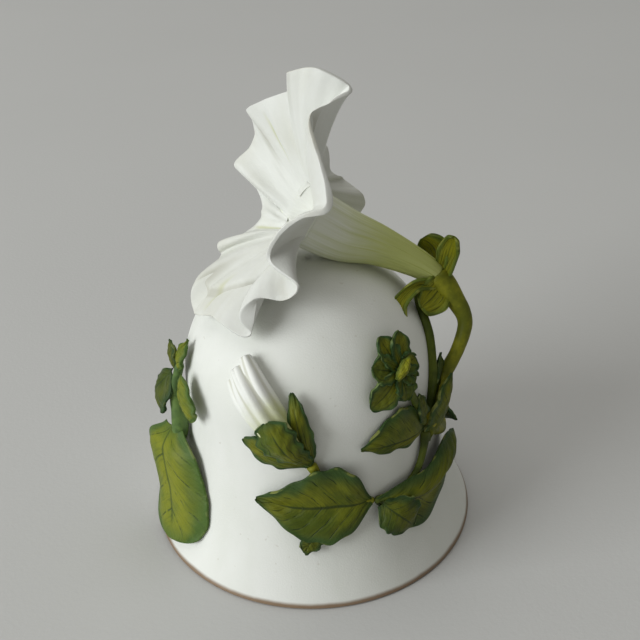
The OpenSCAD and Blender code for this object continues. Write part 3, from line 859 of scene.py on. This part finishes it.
# Ridges and valleys modelled into the limb: place, height in mm, width, where it begins
folds = [
    (0.055, 1.0, 0.022, 0.45),
    (0.13, -1.1, 0.02, 0.4),
    (0.22, 0.8, 0.02, 0.4),
    (0.41, -1.0, 0.022, 0.6),
    (0.463, 2.6, 0.012, 0.42),
    (0.51, -1.0, 0.022, 0.5),
    (0.585, 1.4, 0.012, 0.5),
    (0.62, -1.1, 0.02, 0.4),
    (0.7, 1.5, 0.012, 0.2),
    (0.77, 1.0, 0.014, 0.25),
    (0.815, -2.2, 0.017, 0.22),
    (0.856, 1.6, 0.012, 0.25),
    (0.915, -0.9, 0.014, 0.4),
    (0.965, 0.8, 0.014, 0.3),
]
panel = {  # the part of the lower lobe that lies below the rest, behind a slanting crease
    "from": 0.468,
    "to": 0.615,
    "start": 0.50,
    "slant": 2.1,
    "drop": 1.5 * mm,
    "fade": (0.008, 0.012),  # at its two ends, round the limb
    "step": 0.05,
}
limb = {
    "rows": 50,
    "columns": 240,
    "ruffle": 0.12 * mm,
    "crease": 0.45 * mm,
    "creaseWidth": 0.008,
    "ribWidth": 0.0026,
    "ribPaint": 0.7,
}


# How much of a rib or fold shows at q round the limb, 1 on its line
def across(q, at, width):
    return np.exp(-(((q - at) / width) ** 2))


def panelStep(s, q):
    line = panel["start"] + panel["slant"] * (q - panel["from"])
    near, far = panel["fade"]
    within = held((q - panel["from"]) / near) * held((panel["to"] - q) / far)
    return within, s - line


def ribSpan(s, start, end, sharp):
    return held((s - start) * sharp) * held((end - s) * sharp)


def limbRelief(s, t):
    q = (t + 1) / 2
    lift = limb["ruffle"] * s**2 * np.sin(2 * np.pi * (23 * q + 1.3 * s)) * np.sin(2 * np.pi * (5 * q + 0.4))
    lift = lift + limb["ruffle"] * 0.5 * s * np.sin(2 * np.pi * 61 * q + 9 * s)
    for at, height, width, start in folds:
        lift = lift + height * mm * across(q, at, width) * held((s - start) * 3)
    within, past = panelStep(s, q)
    lift = lift - panel["drop"] * within * held(past / panel["step"])
    for at, start, end in ribs:
        lift = lift - limb["crease"] * across(q, at, limb["creaseWidth"]) * ribSpan(s, start, end, 8)
    return lift


def limbThickness(s, t):
    return flower["petal"] * (1 - 0.3 * s**4) * (0.3 + 0.7 * held((s - 0.06) * 9))


def makeCorolla():
    def surface(s, t):
        return limbPoint(s, (t + 1) / 2)

    grid = limb["rows"], limb["columns"]
    obj, s, t = sheet("corolla", surface, looks["petal"], limbThickness, *grid, limbRelief, mouth)
    q = (t + 1) / 2
    paint = np.zeros_like(s)
    for at, start, end in ribs:
        line = across(q, at, limb["ribWidth"]) * limb["ribPaint"]
        paint = np.maximum(paint, line * ribSpan(s, start, end, 6))
    setValue(obj, "rib", [paint, 0 * paint])
    # Painted shade: the petal material darkens the limb by this value along its valleys and the panel's
    # crease
    depth = np.zeros_like(s)
    for at, height, width, start in folds:
        if height < 0:
            line = across(q, at, width * 0.8) * held((s - start) * 3)
            depth = depth + line * held((1 - s) * 4 + 0.3)
    within, past = panelStep(s, q)
    depth = depth + within * across(past, 0.04, 0.03) * 1.2
    setValue(obj, "valley", [depth, 0 * depth])
    setValue(obj, "reach", [s, s])
    place(obj, "petal_white", "petal_top", "petal_near", "petal_lower", "petal_left", "petal_far")


backLobe = {
    "rim": [(2, 11, 2), (5.8, 12.5, 10.5), (7.8, 13, 3.5), (11, 15, 0.5), (15.5, 14, -5), (12, 12, -8.5)],
    "turn": (28, 80),
    "rows": 36,
    "columns": 60,
    "wave": 0.4 * mm,
    "ripple": 0.1 * mm,
    # painted shade over the whole lobe, which lies in shadow behind the tube
    "paintedShade": 0.3,
}


def makeBackLobe():
    rim = np.array(backLobe["rim"], float) * mm

    def surface(s, t):
        q = (t + 1) / 2
        turn = np.radians(backLobe["turn"][0] + (backLobe["turn"][1] - backLobe["turn"][0]) * q)[..., None]
        return lobeCurve(s[..., None], turn, throat + along(rim, q), 0)[1]

    def relief(s, t):
        wave = backLobe["wave"] * s**2 * np.sin(2 * np.pi * (2.2 * t + 0.3))
        return wave + backLobe["ripple"] * s * np.sin(31 * t)

    grid = backLobe["rows"], backLobe["columns"]
    obj, s, t = sheet("petal_back", surface, looks["petal"], limbThickness, *grid, relief, (1, 1, 1))
    setValue(obj, "rib", [0 * s, 0 * s])
    # The whole lobe takes the painted shade of the limb's valleys
    setValue(obj, "valley", [0 * s + backLobe["paintedShade"]] * 2)
    setValue(obj, "reach", [s, s])
    place(obj, "petal_white", "petal_back")


trumpet = {
    "path": [
        flower["calyx"],
        (bell["waist"] * 0.81, 2 * mm, bell["height"] - 2.8 * mm),
        (bell["waist"] * 0.52, 2 * mm, bell["height"] + 1.9 * mm),
        (bell["waist"] * 0.23, 1.5 * mm, bell["height"] + 5.5 * mm),
        throat,
    ],
    "sides": 96,
    "rows": 56,
    "flare": (0.18, 0.36),  # shares of the limb that the tube's end follows underneath
    "flareRows": 8,
    "inside": 0.45,  # how far down the bore goes
    "insideRows": 24,
    "groove": 0.16 * mm,
    "seam": 40,  # degrees
}


def tubeTurns():
    return np.linspace(trumpet["seam"], trumpet["seam"] - 360, trumpet["sides"], endpoint=False)


def tubeRing(t, radius):
    path = np.array(trumpet["path"])
    ahead = unit(along(path, np.float64(min(t + 0.01, 1))) - along(path, np.float64(t - 0.01)))
    blend = max(0.0, (t - 0.7) / 0.3) ** 2
    heading = unit(ahead * (1 - blend) + mouth * blend)
    up = unit(mouthUp - heading * np.dot(mouthUp, heading))
    far = np.cross(heading, up)
    turn = np.radians(tubeTurns())[:, None]
    radius = np.asarray(radius).reshape(-1, 1)
    return along(path, np.float64(t)) + radius * (np.cos(turn) * up + np.sin(turn) * far)


def makeTrumpet():
    turn = tubeTurns()
    places = np.interp(-turn, -limbTurns, np.linspace(0, 1, len(limbTurns)))
    radii = np.array(flower["radii"]) * mm
    fluting = np.cos(np.radians(turn * 5)) * 0.6 + np.cos(np.radians(turn * 17 + 40)) * 0.4
    rows, ways = [], []
    for t in np.linspace(0, 1, trumpet["rows"]):
        depth = trumpet["groove"] * math.sin(math.pi * min(t * 1.3, 1))
        rows.append(tubeRing(t, along(radii, np.float64(t)) + fluting * depth))
        ways.append(t)

    def limbRows(offset, shares):
        for share in shares:
            s = np.full_like(places, share)
            p = limbPoint(s, places)
            normal = unit(np.cross(limbPoint(s + 0.01, places) - p, limbPoint(s, places + 0.002) - p))
            if np.sum(normal * mouth) < 0:
                normal = -normal
            rows.append(p + normal * offset(share))
            ways.append(1.0)

    start, end = trumpet["flare"]
    steps = np.linspace(start, end, trumpet["flareRows"])
    limbRows(lambda share: -flower["petal"] * (1.15 - 0.45 * (share - start) / (end - start)), steps)
    limbRows(lambda share: -flower["petal"] * 0.5, steps[::-1])
    for t in np.linspace(1, trumpet["inside"], trumpet["insideRows"]):
        wall = flower["tube"] * (0.08 + 0.92 * min(max((0.92 - t) * 6, 0), 1))
        rows.append(tubeRing(t, along(radii, np.float64(t)) - wall * np.ones(trumpet["sides"])))
        ways.append(t)
    obj = rings("trumpet_tube", rows, looks["trumpet"])
    side = np.tile(np.linspace(0, 1, trumpet["sides"], endpoint=False), len(rows))
    way = np.repeat(ways, trumpet["sides"])
    setUv(obj, np.stack([np.abs(side * 2 - 1), way], -1))
    setValue(obj, "way", way)
    place(obj, "trumpet", "trumpet")


leafThick = 1.1 * mm


def leafRelief(veins, depth):
    def relief(s, t):
        side = np.abs(t)
        phase = (s - veinSlope * side) * veins + 0.12 * np.sin(9 * s)
        off = np.abs(phase - np.round(phase))
        fade = (1 - side**3) * held(side * 9) * held((1 - s) * 6)
        lift = -depth * np.exp(-((off / 0.12) ** 2)) * fade
        lift = lift + depth * 0.8 * (1 - np.cos(2 * np.pi * phase)) / 2 * fade
        lift = lift - depth * 1.3 * np.exp(-((t / 0.07) ** 2)) * held((0.97 - s) * 5)
        return lift + 0.08 * mm * np.sin(17 * s + 3 * t) * np.sin(11 * t + 5 * s)

    return relief


def leafEdge(s, t):
    return leafThick * (1 - 0.35 * np.abs(t) ** 4) * (0.25 + 0.75 * held(np.minimum(s, 1 - s) * 8))


# What a leaf has unless its own entry says otherwise, lengths in mm
leafUsual = {
    "section": [0, 0, 0],  # lift across the leaf
    "bend": [0, 0],  # sideways
    "tilt": [0, 0],
    "ruffle": 0.35,
    "waves": 3,
    "scallop": 0.04,
    "blunt": 0.14,  # share of the length that the tip's rounding takes
    "veins": 7,
    "depth": 0.12,
    "size": 1,  # fineness of its grid
    "extra": False,  # no CAD solid of its own
}
leafGap = 0.35  # mm, least height over the bell


def bellLeaf(entry):
    leaf = {**leafUsual, **entry}
    z0 = leaf["at"][1] * bell["height"]
    k = 1 / np.hypot(1, bellSlope(np.float64(z0)))
    heading = math.radians(leaf["heading"])

    def surface(s, t):
        s2 = 0.01 + 0.98 * s
        half = np.where(t > 0, along(leaf["left"], s2), along(leaf["right"], s2))
        tip = held(s - 1 + leaf["blunt"]) / leaf["blunt"]
        ends = np.sqrt(np.clip(1 - tip**2, 0.01, 1))
        bite = 1 + leaf["scallop"] * np.sin(2 * np.pi * leaf["waves"] * 1.7 * s + 2 * np.sign(t))
        x = leaf["length"] * s2
        y = t * half * bite * ends + along(leaf["bend"], s2)
        du = (x * math.cos(heading) - y * math.sin(heading)) * mm
        dv = (x * math.sin(heading) + y * math.cos(heading)) * mm
        azimuth = leaf["at"][0] + np.degrees(du / bellRadius(z0 + dv * k / 2))
        full = np.minimum(1, 4 * s2 * (1 - s2) + 0.2)
        lift = along(leaf["lifts"], s2) + full * along(leaf["section"], (t + 1) / 2)
        lift = lift - t * along(leaf["tilt"], s2)
        ruffle = leaf["ruffle"] * np.abs(t) ** 3
        lift = lift + ruffle * np.sin(2 * np.pi * leaf["waves"] * s + 1.5 * np.sign(t))
        return onBell(azimuth, z0 + dv * k, np.maximum(lift, leafGap) * mm)

    rows, columns = int(30 + 34 * leaf["size"]), int(17 + 14 * leaf["size"])
    relief = leafRelief(leaf["veins"], leaf["depth"] * mm)
    obj, _, _ = sheet(leaf["name"], surface, looks[leaf["look"]], leafEdge, rows, columns, relief)
    placeLeaf(obj, leaf["name"], leaf["extra"])


def placeLeaf(obj, name, extra=False):
    place(obj, "leaf_dark" if name in darkLeaves else "leaf", *(() if extra else (name,)))


leaves = [
    dict(name="front_leaf", look="leaf", at=(24, 0.34), heading=177, length=26.4,
         left=[0.6, 6, 8.6, 8.8, 6.6, 3.6, 1.2], right=[0.6, 8.6, 11, 10.6, 7.2, 3.6, 1.2],
         lifts=[1.2, 2.4, 2.2, 2, 1.8, 1.6, 1.3], section=[0.6, 0.5, -0.5, 0.5, 0.4], bend=[0, 0, 0.6, 0],
         size=1.3, ruffle=0.4),
    dict(name="folded_leaf", look="leaf", at=(25, 0.33), heading=354, length=33,
         left=[0.8, 3.4, 4.6, 5, 5.2, 3.2, 0.8], right=[0.8, 7, 9.4, 8.6, 7, 4, 0.8],
         lifts=[1.2, 2.6, 3.6, 4, 4, 3.6, 3.2], section=[-2.6, -2.2, -1.8, 0.9, 1.2, 0.4, -1.4],
         bend=[0, -1.4, 0.6, 2.6], size=1.3, ruffle=0.25, waves=2, veins=8),
    dict(name="mid_leaf", look="leaf", at=(55, 0.51), heading=173, length=18.8,
         left=[0.8, 2.4, 2.6, 2.2, 0.3], right=[0.8, 6.6, 8.2, 4.8, 0.3], lifts=[1.2, 2, 1.8, 1.5, 1.2],
         section=[-0.4, 0.5, -0.3]),
    dict(name="axil_leaf", look="leaf", at=(58, 0.425), heading=70, length=17, left=[0.8, 3.4, 4.2, 3.2, 1],
         right=[0.8, 4, 4.8, 3.4, 1], lifts=[1.6, 4, 5, 5], section=[-1.5, 0, -1.5], veins=6, size=0.8),
    dict(name="axil_leaf_inner", look="leafDark", at=(54, 0.5), heading=104, length=12,
         left=[0.5, 1.4, 1.5, 0.4], right=[0.5, 1.4, 1.5, 0.4], lifts=[1.2, 2.6, 2.4], veins=4, size=0.5),
    dict(name="axil_leaf_back", look="leafDark", at=(64, 0.5), heading=72, length=15,
         left=[0.6, 2.4, 2.6, 0.4], right=[0.6, 2.2, 2.2, 0.4], lifts=[1.2, 2, 2.4], veins=5, size=0.6),
    dict(name="bud_sepal_left", look="budSepal", at=(-1, 0.51), heading=158, length=15.5,
         left=[0.8, 2.4, 3.4, 3, 1.4], right=[0.8, 2.4, 3.2, 2.8, 1.2], lifts=[1.2, 2.6, 2.8, 2.2],
         section=[-0.4, 0.4, -0.4], veins=4, size=0.8, ruffle=0.3),
    dict(name="bud_sepal_mid", look="budSepal", at=(-1, 0.51), heading=122, length=15,
         left=[1, 2.6, 4, 4.4, 3.4], right=[1, 2.4, 3, 3.4, 2.4], lifts=[1.8, 5.4, 7, 6.6], scallop=0.12,
         section=[-1.6, 0, -1.6], veins=5, size=0.9),
    dict(name="bud_sepal_right", look="budSepal", at=(-1, 0.51), heading=102, length=18,
         left=[0.8, 2, 2.4, 1.8, 0.8], right=[0.8, 2.2, 2.6, 2, 0.8], lifts=[1.2, 3, 3.4, 2.4],
         section=[-0.6, 0.2, -0.6], veins=5, size=0.8),
    dict(name="sprig_leaf_1", look="leafPale", at=(-75, 0.645), heading=84, length=8.6,
         left=[0.6, 2.4, 2.2, 0.4], right=[0.6, 2.4, 2, 0.4], lifts=[2.2, 3, 2], blunt=0.3,
         section=[-0.4, 0.3, -0.4], veins=4, size=0.4),
    dict(name="sprig_leaf_2", look="leafDark", at=(-76, 0.64), heading=122, length=6.6,
         left=[0.8, 2.6, 3, 2.2], right=[0.8, 2.4, 2.8, 2], lifts=[2.4, 4, 4.4], blunt=0.3,
         section=[-0.3, 0.3, -0.3], veins=3, size=0.4),
    dict(name="left_leaf_dark", look="leafDark", at=(-77, 0.64), heading=250, length=15.5,
         left=[1, 4.4, 4.8, 4.4, 3.2], right=[1, 3.6, 4, 3.6, 2.8], lifts=[3.4, 6.6, 7, 5.6], blunt=0.5,
         section=[-0.6, 0.5, -0.6], size=0.8),
    dict(name="left_leaf_light", look="leafPale", at=(-64, 0.685), heading=284, length=11,
         left=[1, 3.8, 4.6, 3.4], right=[1, 3, 3.8, 3], lifts=[3.4, 3.6, 2.8], blunt=0.3,
         section=[-0.4, 0.6, 0], veins=5, size=0.7),
    dict(name="hanging_leaf", look="leafPale", at=(-76, 0.43), heading=286, length=29,
         left=[3.8, 8.6, 10.2, 11.2, 10.6, 7], right=[3.4, 8.8, 8.4, 9, 9.8, 8],
         lifts=[4, 6.2, 5.2, 3.6, 2.4, 1.8], section=[-0.2, 0.8, 0.4, 0.4, -1.4],
         tilt=[1.2, 2.8, 2.4, 1.2, 0.4, 0], veins=4, size=1.3, depth=0.07, ruffle=0.1, scallop=0.01,
         blunt=0.1),
    dict(name="folded_flap", look="leafDark", at=(27, 0.325), heading=305, length=10.5,
         left=[1.4, 4.6, 5, 4.4, 2], right=[1.4, 4, 4.4, 3.8, 2], lifts=[2.4, 4.6, 4.8, 3.6],
         section=[-0.4, 0.5, 0.2], veins=4, size=0.9, depth=0.06, blunt=0.3, extra=True),
    dict(name="front_leaf_lobe", look="leafDark", at=(0.5, 0.265), heading=245, length=6.4,
         left=[1.6, 2.6, 2.4, 1.2], right=[1.6, 2.2, 2, 1], lifts=[1.8, 1.8, 1.6], veins=3, size=0.6,
         blunt=0.3, extra=True),
    dict(name="tucked_leaf", look="leafDark", at=(-86, 0.4), heading=262, length=9, left=[0.5, 2.2, 2, 0.3],
         right=[0.5, 2, 1.8, 0.3], lifts=[1.4, 2.6, 1.6], veins=4, size=0.4),
    dict(name="right_back_leaf", look="leafDark", at=(114, 0.3), heading=178, length=12.5,
         left=[0.6, 3, 3.4, 2, 0.3], right=[0.6, 3, 3.2, 2, 0.3], lifts=[1.4, 2.6, 3.6, 4.6],
         section=[-0.6, 0.4, -0.6], veins=5, size=0.6),
    dict(name="back_leaf_1", look="leaf", at=(138, 0.4), heading=70, length=20, left=[0.8, 5, 6.4, 4, 0.3],
         right=[0.8, 5, 6, 3.6, 0.3], lifts=[1.4, 2.2, 2, 1.4], section=[0.4, 0.3, -0.4, 0.3, 0.4]),
    dict(name="back_leaf_2", look="leaf", at=(176, 0.45), heading=292, length=24,
         left=[0.8, 6, 7.6, 5, 0.3], right=[0.8, 6, 7, 4.6, 0.3], lifts=[1.4, 2.2, 2.2, 1.4],
         section=[0.5, 0.3, -0.4, 0.3, 0.5], size=1.2),
    dict(name="back_leaf_3", look="leafDark", at=(218, 0.36), heading=96, length=19,
         left=[0.8, 4.6, 6, 3.6, 0.3], right=[0.8, 4.6, 5.6, 3.4, 0.3], lifts=[1.4, 2.2, 2, 1.4],
         section=[0.4, 0.3, -0.4, 0.3, 0.4], veins=6),
]

darkLeaves = ["sepal_back", "axil_leaf_inner", "axil_leaf_back", "rosette_leaf_2", "rosette_leaf_4",
              "rosette_leaf_6", "bud_sepal_left", "bud_sepal_right", "sprig_leaf_2", "left_leaf_dark",
              "tucked_leaf", "right_back_leaf", "back_leaf_3", "folded_flap", "front_leaf_lobe"]
rosette = {
    "petals": [  # heading, length, half width, lift of the tip
        (106, 8.0, 2.5, 2.6), (68, 7.6, 2.3, 3.4), (14, 4.8, 2.2, 3.0), (156, 7.2, 2.8, 2.8),
        (215, 10.2, 3.0, 1.6), (272, 7.0, 2.4, 2.2), (322, 5.0, 2.0, 2.4),
    ],
    "outline": np.array([0.4, 0.95, 1.1, 0.7]),
    "usual": dict(look="budSepal", at=(41, 0.755), section=[0.7, -0.1, 0.7], veins=4, size=0.4,
                  ruffle=0.25, blunt=0.3),
    "heart": {"name": "rosette_heart", "look": "calyx", "at": (37, 0.74), "heading": 36, "length": 5.4,
              "left": [0.6, 1.3, 1.3, 0.6], "right": [0.6, 1.2, 1.1, 0.5], "lifts": [3.4, 4.4, 3.8],
              "section": [-1, 0.4, -1], "veins": 3, "size": 0.4, "ruffle": 0.1, "blunt": 0.3, "extra": True},
}


def makeLeaves():
    for leaf in leaves:
        bellLeaf(leaf)
    for k, (heading, length, half, tip) in enumerate(rosette["petals"]):
        outline = list(half * rosette["outline"])
        shape = dict(heading=heading, length=length, left=outline, right=outline, lifts=[1.8, 2.4, tip])
        bellLeaf({"name": f"rosette_leaf_{k + 1}", **rosette["usual"], **shape})
    bellLeaf(rosette["heart"])


calyx = flower["calyx"]
sepals = [
    dict(name="sepal_left", midrib=[(0.6, 0, 0), (0, 3, 5), (-3, 4, 7.4)], widths=[1.8, 4, 3.8, 1.4],
         face=(-0.8, -0.6, 0.2), cup=0.4, wave=0.5),
    dict(name="sepal_right", midrib=[(1.2, -1, 0), (2.6, -1, 6), (3.6, -2, 11)],
         widths=[1.8, 2.2, 2.2, 0.5], face=(-0.5, -0.9, 0.1), cup=0.8, wave=0.3),
    dict(name="sepal_front", midrib=[(2, -2, -0.5), (-0.8, -5, -2.8), (-4, -8, -4)],
         widths=[2.6, 3.8, 3.8, 1.6], face=(0.3, -0.8, 0.5), cup=0.8, wave=0.4),
    dict(name="sepal_hanging", midrib=[(0, -2, -1.5), (-5, -6, 0.5), (-9, -9, -2.5), (-8.5, -11, -7.5)],
         widths=[0.9, 0.8, 1.2, 1.6, 0.9], face=(-0.3, -0.8, 0.6), cup=0.7, wave=0.2),
    dict(name="sepal_back", midrib=[(0, 0, -1), (-3, 1, -3.5), (-6, 0, -4)], widths=[1.4, 2, 1.6, 0.4],
         face=(0, 0, -1), cup=0.5, wave=0.2),
]
sepalTip = 0.15  # share of the length that the tip's rounding takes
sepalGrid = (44, 33)


def makeSepals():
    for sepal in sepals:
        midrib = calyx + np.array(sepal["midrib"], float) * mm
        face = np.array(sepal["face"], float)

        def surface(s, t, sepal=sepal, midrib=midrib, face=face):
            s2 = 0.02 + 0.96 * s
            heading = unit(along(midrib, s2 + 0.01) - along(midrib, s2 - 0.01))
            side = unit(np.cross(np.broadcast_to(face, heading.shape), heading))
            up = np.cross(heading, side)
            tip = np.sqrt(np.clip(1 - (held(s - 1 + sepalTip) / sepalTip) ** 2, 0.04, 1))
            half = along(sepal["widths"], s2) * mm * tip
            wave = sepal["wave"] * mm * np.abs(t) ** 2 * np.sin(2 * np.pi * (2 * s + 0.25 * np.sign(t)))
            return (along(midrib, s2) + side * (half * t)[..., None]
                    + up * (sepal["cup"] * mm * t * t + wave)[..., None])

        def relief(s, t):
            fan = np.cos(2 * np.pi * 3.5 * t + 0.5) * held(s * 4)
            return -0.16 * mm * np.exp(-(((1 + fan) / 0.5) ** 2)) + 0.05 * mm * np.sin(14 * s + 4 * t)

        obj, _, _ = sheet(sepal["name"], surface, looks["calyx"], leafEdge, *sepalGrid, relief, face)
        placeLeaf(obj, sepal["name"])


loopX = bell["waist"] + 6 * mm
top = bell["height"]
stalks = [
    dict(name="handle_stalk", look="stalk", path=[calyx + (0, 0, -0.3 * mm),
         (loopX - 3.2 * mm, -0.6 * mm, top - 10 * mm), (loopX, -3 * mm, top - 15.8 * mm),
         (loopX - 1.6 * mm, -6 * mm, top - 21.5 * mm), (loopX - 5.5 * mm, -10 * mm, top - 27.5 * mm),
         spot(57, 0.49, 1.7)], radii=[3.6, 2.5, 1.8, 1.6, 1.7, 1.9], hand=0.35),
    dict(name="back_stalk", look="stalkDark", path=[calyx + np.array((0, -1, -1.5)) * mm,
         *spots((88, 0.84, 1.8), (75, 0.755, 0.8), (66, 0.66, 0.9), (62, 0.56, 1), (57, 0.48, 1))],
         radii=[1.3, 1.05, 1, 1.1, 1.2]),
    dict(name="rosette_stalk", look="stalkDark",
         path=spots((55, 0.52, 1), (50, 0.6, 1.2), (45, 0.68, 1.6), (42, 0.74, 1.8)),
         radii=[1.1, 0.9, 0.9]),
    dict(name="lower_stalk", look="stalkDark",
         path=spots((57, 0.48, 1), (54, 0.42, 1.2), (48, 0.36, 1.2), (38, 0.33, 1.2), (25, 0.33, 1)),
         radii=[1.2, 0.85, 0.8, 0.9]),
    dict(name="bud_stalk", look="stalk",
         path=spots((25, 0.33, 0.7), (14, 0.36, 0.5), (5, 0.42, 0.5), (-1, 0.51, 1)),
         radii=[0.85, 0.75, 0.8, 1.3]),
    dict(name="left_stalk", look="stalkPale",
         path=spots((-74, 0.68, 2), (-75, 0.58, 3), (-73, 0.5, 2.6), (-73, 0.43, 2.4), (-76, 0.36, 2)),
         radii=[1, 1.3, 1.9, 2, 1.4]),
    dict(name="back_vine", look="stalk",
         path=spots((57, 0.48, 0.8), (80, 0.36, 0.9), (110, 0.3, 0.9), (140, 0.4, 0.9), (172, 0.46, 0.9),
                    (205, 0.38, 0.9), (236, 0.32, 0.9), (262, 0.36, 1), (282, 0.46, 2)),
         radii=[1.2] * 6, steps=120),
]
endSteps = 3  # points over which a stalk's end is rounded


def rope(name, path, radii, steps, look, values):
    t = np.linspace(0, 1, steps)
    points = along(np.array(path), t)
    obj = newObject(name, points, [], looks[look], [(i, i + 1) for i in range(steps - 1)])
    thick = along(np.array(radii, float), t) * mm
    fromEnd = np.minimum(np.minimum(np.arange(steps), np.arange(steps)[::-1]) / endSteps, 1)
    rounding = np.sqrt(np.clip(1 - (1 - fromEnd) ** 2, 0.08, 1))
    setValue(obj, "thickness", thick * rounding)
    return applyTree(obj, trees["stalk"], {"Material": looks[look], **values})


def makeStalks():
    for k, stalk in enumerate(stalks):
        values = {"Sides": 28, "Hand work": stalk.get("hand", 0.3) * mm, "Grain": 260.0, "Seed": 1.0 + k}
        steps = stalk.get("steps", 60)
        obj = rope(stalk["name"], stalk["path"], stalk["radii"], steps, stalk["look"], values)
        place(obj, "stalk", stalk["name"])


furls = [
    dict(path=[(-7, 0.585, 2.2), (-15, 0.655, 2.6), (-24, 0.73, 2.4), (-34.5, 0.795, 1.8)],
         radii=[2.4, 3.5, 3.7, 3.3, 1.9], pleats=7.0, twist=1.4),
    dict(path=[(-7, 0.59, 1.6), (-17.5, 0.65, 2.0), (-27.5, 0.705, 1.8), (-37.5, 0.755, 1.0)],
         radii=[1.6, 2.5, 2.5, 2.1, 1.1], pleats=5.0, twist=-1.0),
    dict(path=[(-6, 0.60, 1.6), (-13, 0.675, 2.2), (-22.5, 0.76, 2.4), (-32.5, 0.825, 2.0)],
         radii=[1.4, 2.1, 2.4, 2.1, 1.2], pleats=5.0, twist=0.8),
    dict(path=[(-8, 0.60, 3.6), (-16, 0.665, 4.2), (-25, 0.735, 4.2), (-35, 0.785, 3.0)],
         radii=[0.8, 1.7, 1.9, 1.6, 0.8], pleats=3.0, twist=2.0),
]


def makeBud():
    for k, furl in enumerate(furls):
        path = spots(*furl["path"])
        values = {"Sides": 72, "Lobes": furl["pleats"], "Lobe depth": 0.075, "Twist": furl["twist"],
                  "Hand work": 0.15 * mm, "Grain": 200.0, "Seed": 9.0 + k}
        obj = rope(f"bud_furl_{k + 1}", path, furl["radii"], 70, "bud", values)
        place(obj, "petal_white", *(("bud",) if k == 0 else ()))


def makeFloor():
    half = floor["half"]
    corners = [(-half, -half, 0), (half, -half, 0), (half, half, 0), (-half, half, 0)]
    newObject("floor", corners, [(0, 1, 2, 3)], floorMaterial())


makeCamera()
makeLights()
makeFloor()
print("camera, light and floor made")
makeBell()
makeBoss()
dressCad()
print("bell made")
makeCorolla()
makeBackLobe()
makeTrumpet()
print("flower made")
makeLeaves()
makeSepals()
print("leaves made")
makeStalks()
makeBud()
print("stalks and bud made")
